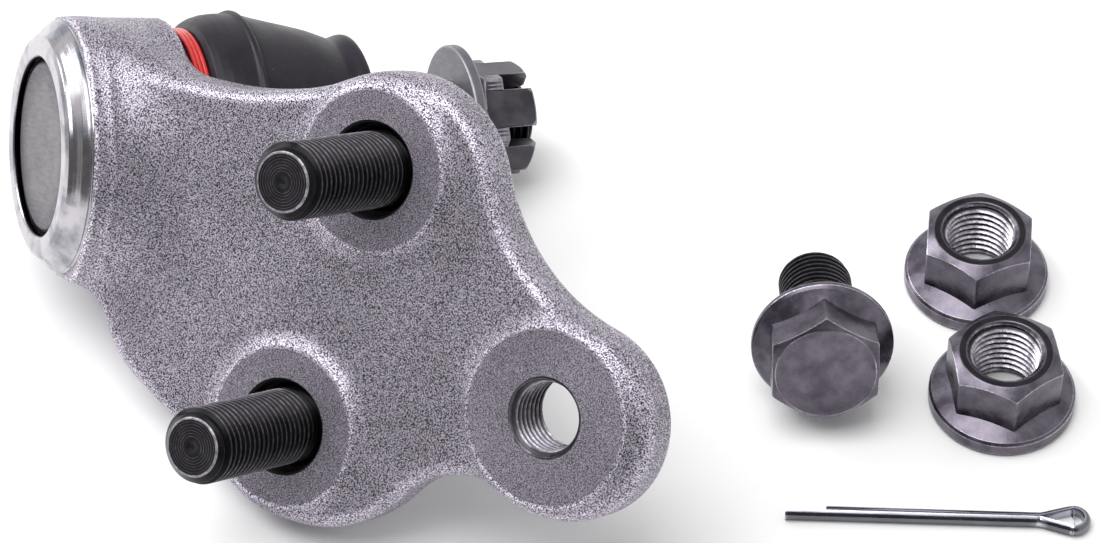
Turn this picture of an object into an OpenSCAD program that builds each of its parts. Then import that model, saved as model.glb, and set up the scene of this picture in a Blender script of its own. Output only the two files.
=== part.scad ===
// Bolt-on suspension ball joint: a forged bracket with a short inclined ball housing, two pressed-in
// mounting studs, one tapped mounting hole, and a ball stud under a rubber boot with its castle nut.
// It lies on a flat surface (Z = 0), resting on its boot, its lower lobe and the castle nut, with the
// flange bolt, two flange nuts and cotter pin that fit it laid out beside it.

/* [Bracket plate] */
// Thickness of the forging from a boss face to the back face
plate_t = 10; // [8:0.5:12]
// How far each round boss stands above the web between them
boss_h = 1.2; // [0.6:0.1:2]
// Rounding of the forging's outer edges
edge_round = 2.2; // [1:0.1:3]
// Distance between the two mounting studs
stud_gap = 44.3; // [42:0.1:48]
// Angle at the lower stud between the tapped hole and the upper stud
stud_angle = 62; // [58:0.5:66]
// Distance from the lower stud to the tapped hole
hole_gap = 47.7; // [45:0.1:52]
// Diameter of the two spot faces round the mounting studs
stud_boss_d = 24.8; // [22:0.2:27]
// Diameter of the spot face round the tapped hole
hole_boss_d = 26.8; // [24:0.2:29]
// Radius of the lobe round the tapped hole
hole_lobe_r = 16.6; // [15.5:0.1:18]
// Radius of the lobe round the upper stud
upper_lobe_r = 15.6; // [14.8:0.1:17]
// Radius of the lobe round the lower stud
lower_lobe_r = 17.6; // [16:0.1:19]
// Hollow radius of the side between the tapped hole and the upper stud
side_blend_r = 30; // [24:1:40]
// Hollow radius of the top edge between the upper stud and the ball housing
top_blend_r = 50; // [40:1:60]
// Hollow radius of the bottom edge between the lower stud and the tapped hole
bottom_blend_r = 18.5; // [15:0.5:24]

/* [Mounting studs] */
// Thread diameter of the mounting studs, the tapped hole and the ball stud
thread_d = 12; // [10:0.5:12]
// Thread pitch
thread_pitch = 1.25; // [1:0.25:1.75]
// Length of each stud beyond its boss face
stud_proud = 24.4; // [18:0.2:32]
// Diameter of the knurled part of each stud, and of the hole that it is pressed into
knurl_d = 14.6; // [13.6:0.1:16]
// Diameter of each stud's head on the back face
stud_head_d = 19; // [17:0.5:21]
// Thickness of each stud's head
stud_head_t = 2.6; // [2:0.1:4]
// Depth below the boss face at which the knurled part ends
knurl_setback = 3; // [1.5:0.1:4]

/* [Ball housing] */
// Outer diameter of the round housing
housing_d = 42; // [40:0.5:45]
// Distance from the ball centre to the housing's open front edge
front_depth = 15; // [14.5:0.1:17]
// Distance from the ball centre to the housing's rear shoulder
rear_depth = 6; // [5.5:0.1:7.5]
// Opening inside the rolled front lip
aperture_d = 29; // [27:0.2:30.5]
// Radial width of the rolled lip's crest
lip_w = 3.6; // [3:0.1:4.5]
// Axial length of the turned slope between lip and full diameter
slope_l = 3.4; // [2.5:0.1:4]
// Tilt of the housing's axis from the plate's back normal
housing_tilt = 37.8; // [34:0.2:41]
// Turn of the housing's axis about the plate's normal
housing_turn = -8.1; // [-11:0.1:-5]

/* [Ball stud] */
// Ball diameter
ball_d = 22; // [21:0.2:23]
// Distance from ball centre to the flat on top of the ball
ball_flat = 9; // [8.6:0.1:9.6]
// Neck diameter just behind the ball
neck_d = 12; // [11:0.2:12.6]
// Shank diameter at the large end of the taper
taper_d = 15.6; // [14.6:0.1:16.4]
// Length of the taper that seats in the knuckle
taper_l = 15; // [12:0.5:16]
// Taper, as the fall in diameter over its length
taper_fall = 2; // [1:0.1:2.6]
// Distance from ball centre to the nut's captive washer
washer_seat = 56.7; // [55:0.1:60]
// Length of the threaded end from the washer's seat
thread_l = 13.1; // [12.6:0.1:16]
// Diameter of the cotter hole through the threaded end
cotter_hole_d = 3.3; // [3:0.1:3.4]
// Swing of the stud at rest about the housing's cross axis, as it lies
rest_swing_a = -3.8; // [-6:0.1:6]
// Swing of the stud at rest about its second cross axis, as it lies
rest_swing_b = -0.2; // [-6:0.1:6]

/* [Boot] */
// Outer diameter of the boot at its moulded ridge
boot_d = 43.6; // [41:0.2:45]
// Wall thickness of the boot
boot_wall = 1.8; // [1.4:0.1:2.2]
// Diameter of the housing's neck that carries the boot
boot_neck_d = 33; // [31:0.2:34]
// Outer diameter of the boot's small end
boot_lip_d = 32.2; // [30:0.2:34]
// Distance from ball centre to the ridge
ridge_at = 19; // [18:0.5:21]
// Distance from ball centre to the boot's small end
boot_end_at = 39.5; // [38:0.5:40]
// Wire diameter of the clamp ring
clamp_wire_d = 0.8; // [0.6:0.1:1]
// Turns of the clamp ring
clamp_turns = 3; // [2:1:3]

/* [Castle nut] */
// Width across the flats of the castle nut
castle_flats = 18; // [17:0.5:19]
// Diameter of the nut's captive washer
washer_d = 26; // [24:0.2:28]
// Thickness of the captive washer
washer_t = 2; // [1.6:0.1:2.6]
// Height of the castle nut from the washer's seat to its crown
castle_h = 12.4; // [11.4:0.1:14]
// Width of the cotter slots
slot_w = 3.4; // [3:0.1:4]
// Depth of the cotter slots
slot_h = 5.4; // [4:0.1:6]
// Turn of the nut about the stud, as it stands
nut_turn = 42.8; // [0:0.1:60]

/* [Loose hardware] */
// Width across the flats of the flange nuts and the flange bolt
hardware_flats = 17; // [16:0.5:19]
// Flange diameter of the flange nuts
nut_flange_d = 23.8; // [22:0.2:26]
// Height of the flange nuts
nut_h = 12.3; // [10:0.1:14]
// Flange diameter of the bolt
bolt_flange_d = 23; // [22:0.2:26]
// Height of the bolt's head over its flange face
bolt_head_h = 9.8; // [8:0.2:13]
// Length of the bolt under its flange
bolt_l = 18.2; // [16:0.2:40]
// Diameter of the cotter pin
cotter_d = 2.2; // [2:0.1:3]
// Length of the cotter pin's long leg from the eye's far side
cotter_l = 48.3; // [40:0.2:60]
// Outer diameter of the cotter pin's eye
eye_d = 5.4; // [5:0.2:8]

/* [Hidden] */
$fn = 72;

// How the joint lies: turns of the plate's frame, and the spot on the surface for its lower boss
lie_turn = [49.664, -23.341, -18.749];
lie_spot = [-39.78, -28.43];

// Places of the loose hardware on the surface
nut_a_at = [73.01, 15.61, 0];
nut_a_turn = 23.5;
nut_b_at = [75.38, -10.25, 0];
nut_b_turn = 36.5;
bolt_at = [46.06, -6.42, 0];
bolt_turn = 0.8;
cotter_at = [87.6, -36.07, 0];
cotter_turn = -2.8;

// Places on the plate, in its own frame: lower boss face centre at the origin, boss faces up
upper_at = stud_gap * [cos(stud_angle), sin(stud_angle)];
hole_at = [hole_gap, 0];
ball_at = [-35.2, 45.3, -14.3];
// The lobes of the outline sit a little off the boss centres
upper_lobe_at = upper_at + [3.4, -1.2];
lower_lobe_at = [3.6, 0.8];
hole_lobe_at = hole_at + [0.8, 0];
// The neck is rounded beside the housing and at its lower corner
housing_lobe_at = [ball_at[0] - 2.3, ball_at[1] + 0.2];
housing_lobe_r = housing_d / 2 - 1.5;
neck_lobe_at = [ball_at[0] + 16.2, ball_at[1] - 28.3];
neck_lobe_r = 13;
neck_blend_r = 15;
arc_step = 9;
web_t = plate_t - boss_h;
boss_foot = 1.4;
foot_sink = 0.15;
overlap = 0.02;

// Sizes inside the housing, along its axis from the ball centre
housing_r = housing_d / 2;
aperture_r = aperture_d / 2;
ball_r = ball_d / 2;
lip_t = 1.2;
cap_t = 2.4;
cap_r = aperture_r + 1.9;
cap_back = -front_depth + lip_t + cap_t;
seat_r = ball_r + 2.3;
fit_gap = 0.05;
mouth_r = 10;
seat_floor = rear_depth + 1;
neck_end = rear_depth + 5.4;
neck_r = boot_neck_d / 2;
groove_depth = 0.9;
preload_t = 0.8;
seat_split = 0.6;
cap_seat_top = -ball_flat - 0.9;

// The throat grows out of two pads under the plate's skin: [shift from the upper stud, radius]
throat_pads = [[[-19, -1], 9], [[-36, -20], 7]];
throat_sink = 4;
// The fillet over the throat leans from the housing's side out to the plate's face, as discs of
// [height on the housing's axis, reach beyond the housing, how much smaller than the housing]
fillet_discs = [[slope_l + 0.6 - front_depth, 1.8, -0.4], [-rear_depth / 3, 5.8, 0],
                [rear_depth / 2, 6.5, 6]];
fillet_disc_t = 0.4;

// The boot's seat on the housing and on the stud
boot_gap = 0.3;
ridge_w = 1;
base_r = neck_r + boot_gap + boot_wall;
clamp_at = rear_depth + 2.2;
shank_r = taper_d / 2;
lip_ring_r = shank_r + 3;
lip_ring_wire_d = 1.8;
lip_t_axial = 4;
boot_room = 1;

// Threads are plain cylinders at their crest or root diameter
minor_r = thread_d / 2 - 0.54 * thread_pitch;
chamfer = 0.61 * thread_pitch;
nut_hub_r = thread_d / 2 + 1;
flange_corner = 0.5;
washer_edge = 0.3;

// Directions in the plate's frame: the housing's and the stud's axis, from the ball towards the nut
function housing_direction(v) =
    let (u = [v[0] * -cos(housing_tilt) + v[2] * sin(housing_tilt), v[1],
              -v[0] * sin(housing_tilt) - v[2] * cos(housing_tilt)])
    [u[0] * cos(housing_turn) - u[1] * sin(housing_turn),
     u[0] * sin(housing_turn) + u[1] * cos(housing_turn), u[2]];
housing_axis = housing_direction([0, 0, 1]);
stud_axis = housing_direction([sin(rest_swing_b), -sin(rest_swing_a) * cos(rest_swing_b),
                               cos(rest_swing_a) * cos(rest_swing_b)]);

// The joint lies as low as its boot's ridge, its nut's washer and its lower lobe allow
surface_up = [-sin(lie_turn[1]), cos(lie_turn[1]) * sin(lie_turn[0]), cos(lie_turn[1]) * cos(lie_turn[0])];
function lowest_of_ring(centre, axis, r) = centre * surface_up - r * sqrt(1 - pow(axis * surface_up, 2));
lowest = min(
    lowest_of_ring(ball_at + (ridge_at + ridge_w / 2) * housing_axis, housing_axis, boot_d / 2),
    lowest_of_ring(ball_at + (washer_seat + washer_t - washer_edge) * stud_axis, stud_axis, washer_d / 2),
    lowest_of_ring([lower_lobe_at[0], lower_lobe_at[1], edge_round - plate_t], [0, 0, 1],
                   lower_lobe_r - edge_round) - edge_round);
lie_at = [lie_spot[0], lie_spot[1], -lowest];

// Frames: the plate's own, the housing's and the stud's, whose Z runs from the ball towards the nut
module lay_down() { translate(lie_at) rotate(lie_turn) children(); }
module housing_frame() { translate(ball_at) rotate([0, 180 - housing_tilt, housing_turn]) children(); }
module stud_frame() {
    housing_frame() rotate([rest_swing_a, 0, 0]) rotate([0, rest_swing_b, 0]) children();
}

// Outline of the bracket, going round it with the metal on the left: each lobe is a [centre, radius],
// and blends[i] is the hollow radius between lobe i and the next, or 0 for a straight tangent
lobes = [[hole_lobe_at, hole_lobe_r], [upper_lobe_at, upper_lobe_r], [housing_lobe_at, housing_lobe_r],
         [neck_lobe_at, neck_lobe_r], [lower_lobe_at, lower_lobe_r]];
blends = [side_blend_r, top_blend_r, neck_blend_r, 0, bottom_blend_r];

function after(i) = (i + 1) % len(lobes);
function before(i) = (i + len(lobes) - 1) % len(lobes);
function direction(v) = atan2(v[1], v[0]);
full_turn = 360;
function turned(from, to) = (to - from + 2 * full_turn) % full_turn;

// Centre of the hollow that touches lobe i and the next from outside
function hollow_centre(i) =
    let (a = lobes[i][0], b = lobes[after(i)][0],
         ra = lobes[i][1] + blends[i], rb = lobes[after(i)][1] + blends[i],
         d = norm(b - a), u = (b - a) / d, along = (ra * ra - rb * rb + d * d) / (2 * d))
    a + along * u + sqrt(ra * ra - along * along) * [u[1], -u[0]];
// Outward normal of the straight tangent from lobe i to the next
function tangent_normal(i) =
    let (v = lobes[after(i)][0] - lobes[i][0])
    direction(v) - acos((lobes[i][1] - lobes[after(i)][1]) / norm(v));
function leave_angle(i) = blends[i] == 0 ? tangent_normal(i) : direction(hollow_centre(i) - lobes[i][0]);
function enter_angle(i) =
    let (p = before(i)) blends[p] == 0 ? tangent_normal(p) : direction(hollow_centre(p) - lobes[i][0]);

// Stations of the outline as [centre, radius, side, angle]: side is 1 on a lobe and -1 in a hollow
function lobe_stations(i) =
    let (from = enter_angle(i), sweep = turned(from, leave_angle(i)), n = ceil(sweep / arc_step))
    [for (k = [0:n]) [lobes[i][0], lobes[i][1], 1, from + sweep * k / n]];
function hollow_stations(i) =
    blends[i] == 0 ? [] :
    let (c = hollow_centre(i), from = direction(lobes[i][0] - c),
         sweep = turned(direction(lobes[after(i)][0] - c), from), n = ceil(sweep / arc_step))
    [for (k = [1:n - 1]) [c, blends[i], -1, from - sweep * k / n]];
stations = [for (i = [0:len(lobes) - 1]) each concat(lobe_stations(i), hollow_stations(i))];
function inset_outline(inset) = [for (s = stations) s[0] + (s[1] - s[2] * inset) * [cos(s[3]), sin(s[3])]];

// Stations of one lobe, counted along the whole outline
function stations_before(i) =
    i == 0 ? 0 : stations_before(i - 1) + len(lobe_stations(i - 1)) + len(hollow_stations(i - 1));
function first_station(i) = stations_before(i);
function last_station(i) = stations_before(i) + len(lobe_stations(i)) - 1;

// A flat face inside the outline is cut into triangles round the lobe centres, the points halfway
// between them and the middle, because the outline itself is hollow in places
lobe_count = len(lobes);
centres = [for (l = lobes) l[0]];
halfways = [for (i = [0:lobe_count - 1]) (centres[i] + centres[after(i)]) / 2];
middle = [for (axis = [0, 1]) [for (c = centres) c[axis]] * [for (c = centres) 1] / lobe_count];
inner_points = concat(centres, halfways, [middle]);
function flat_face(ring, inner) =
    let (n = len(stations), halfway = inner + lobe_count, centre = inner + 2 * lobe_count)
    [for (i = [0:lobe_count - 1]) let (last = last_station(i)) each concat(
        [for (k = [first_station(i):last - 1]) [ring + k, ring + k + 1, inner + i]],
        [for (k = [last:last + len(hollow_stations(i))]) [ring + k, ring + (k + 1) % n, halfway + i]],
        [[inner + i, ring + last, halfway + i],
         [halfway + i, ring + first_station(after(i)), inner + after(i)],
         [centre, inner + i, halfway + i],
         [centre, halfway + i, inner + after(i)]])];

// Solid with the bracket's outline whose long edges are rounded: one ring of points per [inset, height]
module rounded_web(low, high) {
    n = len(stations);
    edge_turn = [0, 30, 60, 90];
    profile = concat(
        [for (t = edge_turn) [edge_round * (1 - sin(t)), low + edge_round * (1 - cos(t))]],
        [for (t = edge_turn) [edge_round * (1 - cos(t)), high - edge_round * (1 - sin(t))]]);
    rings = len(profile);
    ring_points = [for (r = profile) each [for (q = inset_outline(r[0])) [q[0], q[1], r[1]]]];
    face_points = [for (h = [low, high]) each [for (q = inner_points) [q[0], q[1], h]]];
    sides = [for (r = [0:rings - 2]) each [for (k = [0:n - 1])
        [r * n + k, (r + 1) * n + k, (r + 1) * n + (k + 1) % n, r * n + (k + 1) % n]]];
    under = flat_face(0, rings * n);
    above = [for (f = flat_face((rings - 1) * n, rings * n + len(inner_points))) [f[2], f[1], f[0]]];
    polyhedron(concat(ring_points, face_points), concat(under, sides, above));
}
module web() { rounded_web(-plate_t, -boss_h); }

// Raised round boss with a sloping foot
module boss(r) {
    rotate_extrude() polygon([
        [0, -web_t / 2], [r + boss_foot, -web_t / 2], [r + boss_foot, -boss_h - foot_sink],
        [r + 0.4, -boss_h / 3], [r, 0], [0, 0]]);
}

// Turned outside of the housing, with its rolled front lip and the grooved neck for the boot
module barrel() {
    front = -front_depth;
    lip_r = aperture_r + lip_w;
    corner = 1.8;
    rotate_extrude() polygon([
        [0, front + lip_t], [aperture_r, front + lip_t], [aperture_r + 0.5, front + 0.3],
        [aperture_r + 1.4, front], [lip_r - 0.6, front], [lip_r, front + 0.4],
        [housing_r - 0.5, front + slope_l], [housing_r, front + slope_l + 0.6],
        [housing_r, rear_depth - corner], [housing_r - 0.5, rear_depth - 0.5],
        [housing_r - corner, rear_depth],
        [neck_r, rear_depth], [neck_r, clamp_at - 0.8], [neck_r - groove_depth, clamp_at - 0.3],
        [neck_r - groove_depth, clamp_at + 2], [neck_r, clamp_at + 2.5], [neck_r, neck_end - 0.6],
        [neck_r - 0.6, neck_end], [0, neck_end]]);
}

// Inside of the housing: cap pocket, seat bore and flared mouth
module barrel_inside() {
    front = -front_depth;
    rotate_extrude() polygon([
        [0, front - 1], [aperture_r + 0.5, front - 1], [aperture_r + 0.5, front + 0.3],
        [aperture_r, front + lip_t], [cap_r, front + lip_t], [cap_r, cap_back],
        [seat_r, cap_back], [seat_r, seat_floor], [mouth_r, seat_floor], [mouth_r, seat_floor + 0.2],
        [neck_r - 2.4, neck_end + overlap], [0, neck_end + overlap]]);
}

// Room for the boot behind the housing's shoulder
module room_for_boot() {
    base = base_r + boot_room;
    wide = boot_d / 2 + boot_room;
    rotate_extrude() polygon([[0, rear_depth - 0.5], [base, rear_depth - 0.5], [base, clamp_at + 2.3],
                              [wide, clamp_at + 6.3], [wide, boot_end_at], [0, boot_end_at]]);
}

// Forged throat that carries the housing out of the plate
module throat() {
    throat_from = -front_depth / 2 + 0.7;
    hull($fn = 32) {
        housing_frame() translate([0, 1 - throat_sink, throat_from])
            cylinder(r = housing_r - throat_sink, h = rear_depth / 2 - throat_from);
        for (pad = throat_pads) translate(upper_at + pad[0]) translate([0, 0, 1 - plate_t])
            cylinder(r = pad[1], h = web_t - 1.2);
    }
}

// Fillet between the housing's side and the plate's face
module throat_fillet() {
    hull($fn = 32) for (disc = fillet_discs) translate([-disc[1] - disc[2], 0, disc[0]])
        cylinder(r = housing_r - disc[2], h = fillet_disc_t);
}

// Chamfered tapped hole of depth l below z = 0
module tapped_hole(l) {
    wide = minor_r + chamfer + 0.2;
    translate([0, 0, -l - 1]) cylinder(r = minor_r, h = l + 2);
    translate([0, 0, -chamfer]) cylinder(r1 = minor_r, r2 = wide, h = chamfer + 0.2);
    translate([0, 0, -l - 0.2]) cylinder(r1 = wide, r2 = minor_r, h = chamfer + 0.2);
}

module housing() {
    color("silver") lay_down() difference() {
        union() {
            difference() {
                union() {
                    web();
                    throat();
                }
                housing_frame() translate([0, 0, -3 * front_depth])
                    cylinder(r = 2 * housing_d, h = 2.5 * front_depth);
                housing_frame() room_for_boot();
            }
            translate(upper_at) boss(stud_boss_d / 2);
            boss(stud_boss_d / 2);
            translate(hole_at) boss(hole_boss_d / 2);
            housing_frame() barrel();
            housing_frame() throat_fillet();
        }
        housing_frame() barrel_inside();
        for (at = [[0, 0], upper_at]) translate(at) {
            translate([0, 0, -plate_t - 1]) cylinder(d = knurl_d, h = plate_t + 2);
        }
        translate(hole_at) tapped_hole(plate_t);
    }
}

// Pressed steel cap held under the rolled lip
module end_cap() {
    color("dimgray") lay_down() housing_frame() rotate_extrude() polygon([
        [0, cap_back - cap_t + 0.5], [aperture_r - 3, cap_back - cap_t + 0.3],
        [aperture_r - 1.2, cap_back - cap_t], [cap_r - 0.4, cap_back - cap_t],
        [cap_r, cap_back - cap_t + 0.4], [cap_r, cap_back], [0, cap_back]]);
}

// Coned spring washer that presses the seats on the ball
module preload_washer() {
    cone_h = cap_seat_top - cap_back - preload_t;
    color("slategray") lay_down() housing_frame() rotate_extrude() polygon([
        [ball_r / 2, cap_seat_top - preload_t], [seat_r - 0.4, cap_back],
        [seat_r - 0.4, cap_back + preload_t], [ball_r / 2, cap_back + preload_t + cone_h]]);
}

// Polymer cup on the cap's side of the ball
module cap_side_seat() {
    color("ivory") lay_down() housing_frame() difference() {
        translate([0, 0, cap_seat_top]) cylinder(r = seat_r - fit_gap, h = -cap_seat_top - seat_split);
        sphere(r = ball_r + fit_gap);
        translate([0, 0, cap_seat_top - 1]) cylinder(r = ball_r / 4, h = 4);
        translate([0, 0, -front_depth]) difference() {
            cylinder(r = seat_r + 1, h = front_depth - ball_flat + 1.5);
            translate([0, 0, -1]) cylinder(r = seat_r - 1.6, h = front_depth);
        }
    }
}

// Polymer cup on the stud's side of the ball
module stud_side_seat() {
    color("ivory") lay_down() housing_frame() difference() {
        translate([0, 0, seat_split]) cylinder(r = seat_r - fit_gap, h = seat_floor - seat_split);
        sphere(r = ball_r + fit_gap);
        translate([0, 0, seat_floor - 2]) cylinder(r1 = mouth_r - 1.4, r2 = mouth_r, h = 2 + overlap);
    }
}

// Ball stud: truncated ball, neck, straight shank, taper and threaded end with its cotter hole
module ball_stud() {
    neck_r2 = neck_d / 2;
    leave = sqrt(ball_r * ball_r - neck_r2 * neck_r2);
    taper_at = washer_seat - 1.2 - taper_l;
    taper_end_r = shank_r - taper_fall / 2;
    crest_r = thread_d / 2;
    tip = washer_seat + thread_l;
    cotter_hole_at = washer_seat + castle_h - slot_h + cotter_hole_d / 2 + 0.6;
    color("dimgray") lay_down() stud_frame() difference() {
        union() {
            difference() {
                sphere(r = ball_r);
                translate([0, 0, -2 * ball_r]) cylinder(r = ball_r, h = 2 * ball_r - ball_flat);
            }
            rotate_extrude() polygon([
                [0, 0], [neck_r2, 0], [neck_r2, leave + 1.5], [shank_r - 0.4, leave + 6.5],
                [shank_r, leave + 7.5], [shank_r, taper_at], [taper_end_r, taper_at + taper_l],
                [crest_r, taper_at + taper_l + 0.4], [crest_r, tip - chamfer],
                [crest_r - chamfer, tip], [0, tip]]);
        }
        rotate([0, 0, nut_turn + 30]) translate([0, 0, cotter_hole_at]) rotate([0, 90, 0])
            cylinder(d = cotter_hole_d, h = 2 * thread_d, center = true);
    }
}

// Rubber boot: barrel-shaped body with a moulded ridge, thin walls and a thick small-end lip
module boot_lower() {
    top_r = boot_d / 2;
    rotate_extrude() polygon([
        [neck_r + boot_gap, rear_depth + boot_gap], [base_r + 0.2, rear_depth + boot_gap],
        [base_r + 0.2, clamp_at - 0.5], [base_r - 0.2, clamp_at - 0.3], [base_r - 0.2, clamp_at + 2.3],
        [base_r + 0.6, clamp_at + 2.5], [top_r - 1.5, ridge_at - 6.2], [top_r - 0.7, ridge_at - 2.4],
        [top_r, ridge_at - ridge_w / 2], [top_r, ridge_at + ridge_w / 2],
        [top_r - boot_wall, ridge_at + ridge_w / 2], [top_r - boot_wall - 0.4, ridge_at - 2.4],
        [base_r + 0.6 - boot_wall, neck_end + 1], [neck_r + boot_gap, neck_end + 0.4]]);
}
module boot_upper() {
    top_r = boot_d / 2;
    lip_r = boot_lip_d / 2;
    lip_from = boot_end_at - lip_t_axial;
    rotate_extrude() polygon([
        [top_r - boot_wall, ridge_at - 0.4], [top_r - 0.3, ridge_at - 0.4], [top_r - 1.2, ridge_at + 2],
        [top_r - 4.8, ridge_at + 12.4], [lip_r - 0.4, lip_from], [lip_r, lip_from + 1.4],
        [lip_r, boot_end_at - 1.4], [lip_r - 1, boot_end_at - 0.2], [lip_r - 2, boot_end_at],
        [shank_r + boot_gap, boot_end_at], [shank_r + boot_gap, lip_from],
        [lip_ring_r - 1.2, lip_from - 0.6], [lip_r - boot_wall - 0.6, lip_from - 0.6],
        [top_r - 4.8 - boot_wall, ridge_at + 12.4], [top_r - 1.2 - boot_wall, ridge_at + 2]]);
}
module dust_boot() {
    color("#26262a") lay_down() difference() {
        union() {
            housing_frame() boot_lower();
            stud_frame() boot_upper();
        }
        stud_frame() translate([0, 0, boot_end_at - lip_t_axial / 2])
            ring(lip_ring_r, lip_ring_wire_d / 2 + fit_gap);
    }
}

// Round wire ring of centre radius r and wire radius w
module ring(r, w) { rotate_extrude() translate([r, 0]) circle(w, $fn = 16); }

// Red wire clamp: close turns round the boot's base
module boot_clamp_ring() {
    wire_r = clamp_wire_d / 2;
    color("red") lay_down() housing_frame() union() {
        for (i = [0:clamp_turns - 1])
            translate([0, 0, clamp_at + wire_r + i * clamp_wire_d * 0.9])
                ring(base_r + wire_r + fit_gap - 0.2, wire_r);
    }
}

// Wire ring moulded into the boot's small end
module boot_lip_ring() {
    color("slategray") lay_down() stud_frame() translate([0, 0, boot_end_at - lip_t_axial / 2])
        ring(lip_ring_r, lip_ring_wire_d / 2);
}

// Pressed-in mounting stud: head on the back face, knurled shank, threaded end
module plate_stud() {
    crest_r = thread_d / 2;
    knurl_r = knurl_d / 2;
    head_r = stud_head_d / 2;
    back = -plate_t;
    color("#303036") rotate_extrude() polygon([
        [0, back - stud_head_t], [head_r - 0.8, back - stud_head_t], [head_r, back - stud_head_t + 0.8],
        [head_r, back], [knurl_r, back], [knurl_r, -knurl_setback - 0.6], [crest_r, -knurl_setback],
        [crest_r, stud_proud - 1.6], [crest_r - 1.5, stud_proud], [0, stud_proud]]);
}
module upper_plate_stud() { lay_down() translate(upper_at) plate_stud(); }
module lower_plate_stud() { lay_down() plate_stud(); }

// Distance from the middle of a hexagon to its corners
function hex_corner(flats) = flats / 2 / cos(30);

// Hexagon prism whose corners are turned off by a cone at each end that asks for it
module hexagon(flats, h, corner_low, corner_high) {
    hex_r = hex_corner(flats);
    intersection() {
        cylinder(r = hex_r, h = h, $fn = 6);
        rotate_extrude() polygon([
            [0, 0], [hex_r + 0.1 - corner_low, 0], [hex_r + 0.1, corner_low * 0.5],
            [hex_r + 0.1, h - corner_high], [hex_r + 0.1 - corner_high, h], [0, h]]);
    }
}

// Castle nut: hexagon with six cotter slots on a round collar that carries the washer
module castle_nut() {
    collar_h = 1.4;
    hex_from = washer_t + collar_h;
    hex_r = hex_corner(castle_flats);
    color("#303036") lay_down() stud_frame() translate([0, 0, washer_seat]) rotate([0, 0, nut_turn])
        difference() {
            union() {
                translate([0, 0, hex_from]) hexagon(castle_flats, castle_h - hex_from, 0.4, 1.6);
                translate([0, 0, washer_t + fit_gap]) cylinder(r = castle_flats / 2 - 0.2, h = collar_h);
                cylinder(r = nut_hub_r, h = hex_from + overlap);
            }
            translate([0, 0, -1]) cylinder(d = thread_d + fit_gap * 2, h = castle_h + 2);
            for (i = [0:2]) rotate([0, 0, 30 + i * 60]) translate([-hex_r - 1, -slot_w / 2, castle_h - slot_h])
                cube([2 * hex_r + 2, slot_w, slot_h + 1]);
        }
}

// Captive washer, free to turn on the nut's collar
module nut_washer() {
    color("gray") lay_down() stud_frame() translate([0, 0, washer_seat]) difference() {
        rotate_extrude() polygon([
            [0, 0], [washer_d / 2 - washer_edge, 0], [washer_d / 2, washer_edge],
            [washer_d / 2, washer_t - washer_edge], [washer_d / 2 - washer_edge, washer_t], [0, washer_t]]);
        translate([0, 0, -1]) cylinder(r = nut_hub_r + fit_gap, h = washer_t + 2);
    }
}

// Cone-topped flange under a hexagon
module flange(d, rim_t, rise) {
    r = d / 2;
    rotate_extrude() polygon([
        [0, 0], [r - 0.8, 0], [r, flange_corner], [r, rim_t], [r - 0.5, rim_t + 0.4],
        [hardware_flats / 2 - 0.5, rise], [0, rise]]);
}

module flange_nut() {
    color("#303036") difference() {
        union() {
            hexagon(hardware_flats, nut_h, 0, 2.2);
            flange(nut_flange_d, 2, 4.3);
        }
        translate([0, 0, nut_h]) tapped_hole(nut_h);
    }
}

module flange_nut_a() { translate(nut_a_at) rotate([0, 0, nut_a_turn]) flange_nut(); }
module flange_nut_b() { translate(nut_b_at) rotate([0, 0, nut_b_turn]) flange_nut(); }

// Flange bolt lying on the edge of its flange and the end of its thread
module flange_bolt() {
    crest_r = thread_d / 2;
    flange_r = bolt_flange_d / 2;
    dip = atan((flange_r - crest_r) / (bolt_l - chamfer + flange_corner));
    lift = flange_r * cos(dip) - flange_corner * sin(dip);
    color("#303036") translate(bolt_at) rotate([0, 0, bolt_turn]) translate([0, 0, lift])
        rotate([-90 - dip, 0, 0]) union() {
            mirror([0, 0, 1]) {
                rotate([0, 0, 90]) hexagon(hardware_flats, bolt_head_h, 0, 1);
                flange(bolt_flange_d, 1.4, 4.2);
            }
            rotate_extrude() polygon([
                [0, -1], [crest_r, -1], [crest_r, bolt_l - chamfer],
                [crest_r - chamfer, bolt_l], [0, bolt_l]]);
        }
}

// Half-round wire of the cotter pin, from x = 0 to l, flat side at y = 0
module half_round(l, r) {
    intersection() {
        rotate([0, 90, 0]) cylinder(r = r, h = l, $fn = 24);
        translate([-1, 0, -cotter_d]) cube([l + 2, cotter_d, 2 * cotter_d]);
    }
}

// Cotter pin: two half-round legs laid together, spread into a drop-shaped eye
module cotter_pin() {
    leg_r = cotter_d / 2;
    short_by = 6.5;
    split = 0.06;
    elbow = 0.5;
    thinned = 0.05;
    eye_inside = eye_d / 2 - leg_r;
    wire_steps = 12;
    throat_l = 5.3;
    spread = asin((eye_inside - split) / throat_l);
    spread_l = throat_l * cos(spread);
    straight = cotter_l - throat_l - eye_d / 2;
    color("lightsteelblue") translate(cotter_at) rotate([0, 0, cotter_turn])
        translate([-eye_d / 2, 0, leg_r]) union() {
            for (side = [0, 1]) let (leg_l = straight - (1 - side) * short_by)
                mirror([0, side, 0]) translate([-throat_l, split, 0]) {
                    translate([-leg_l, 0, 0]) half_round(leg_l + elbow, leg_r);
                    rotate([0, 0, spread]) half_round(spread_l, leg_r - thinned);
                }
            difference() {
                rotate_extrude() polygon([
                    for (k = [0:wire_steps]) let (t = 180 * k / wire_steps - 90)
                        [eye_inside + leg_r * cos(t), leg_r * sin(t)]]);
                translate([0, 0, -cotter_d]) linear_extrude(2 * cotter_d) polygon([
                    [0, 0], eye_d * [-sin(spread), cos(spread)], [-2 * eye_d, eye_d], [-2 * eye_d, -eye_d],
                    eye_d * [-sin(spread), -cos(spread)]]);
            }
        }
}

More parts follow.
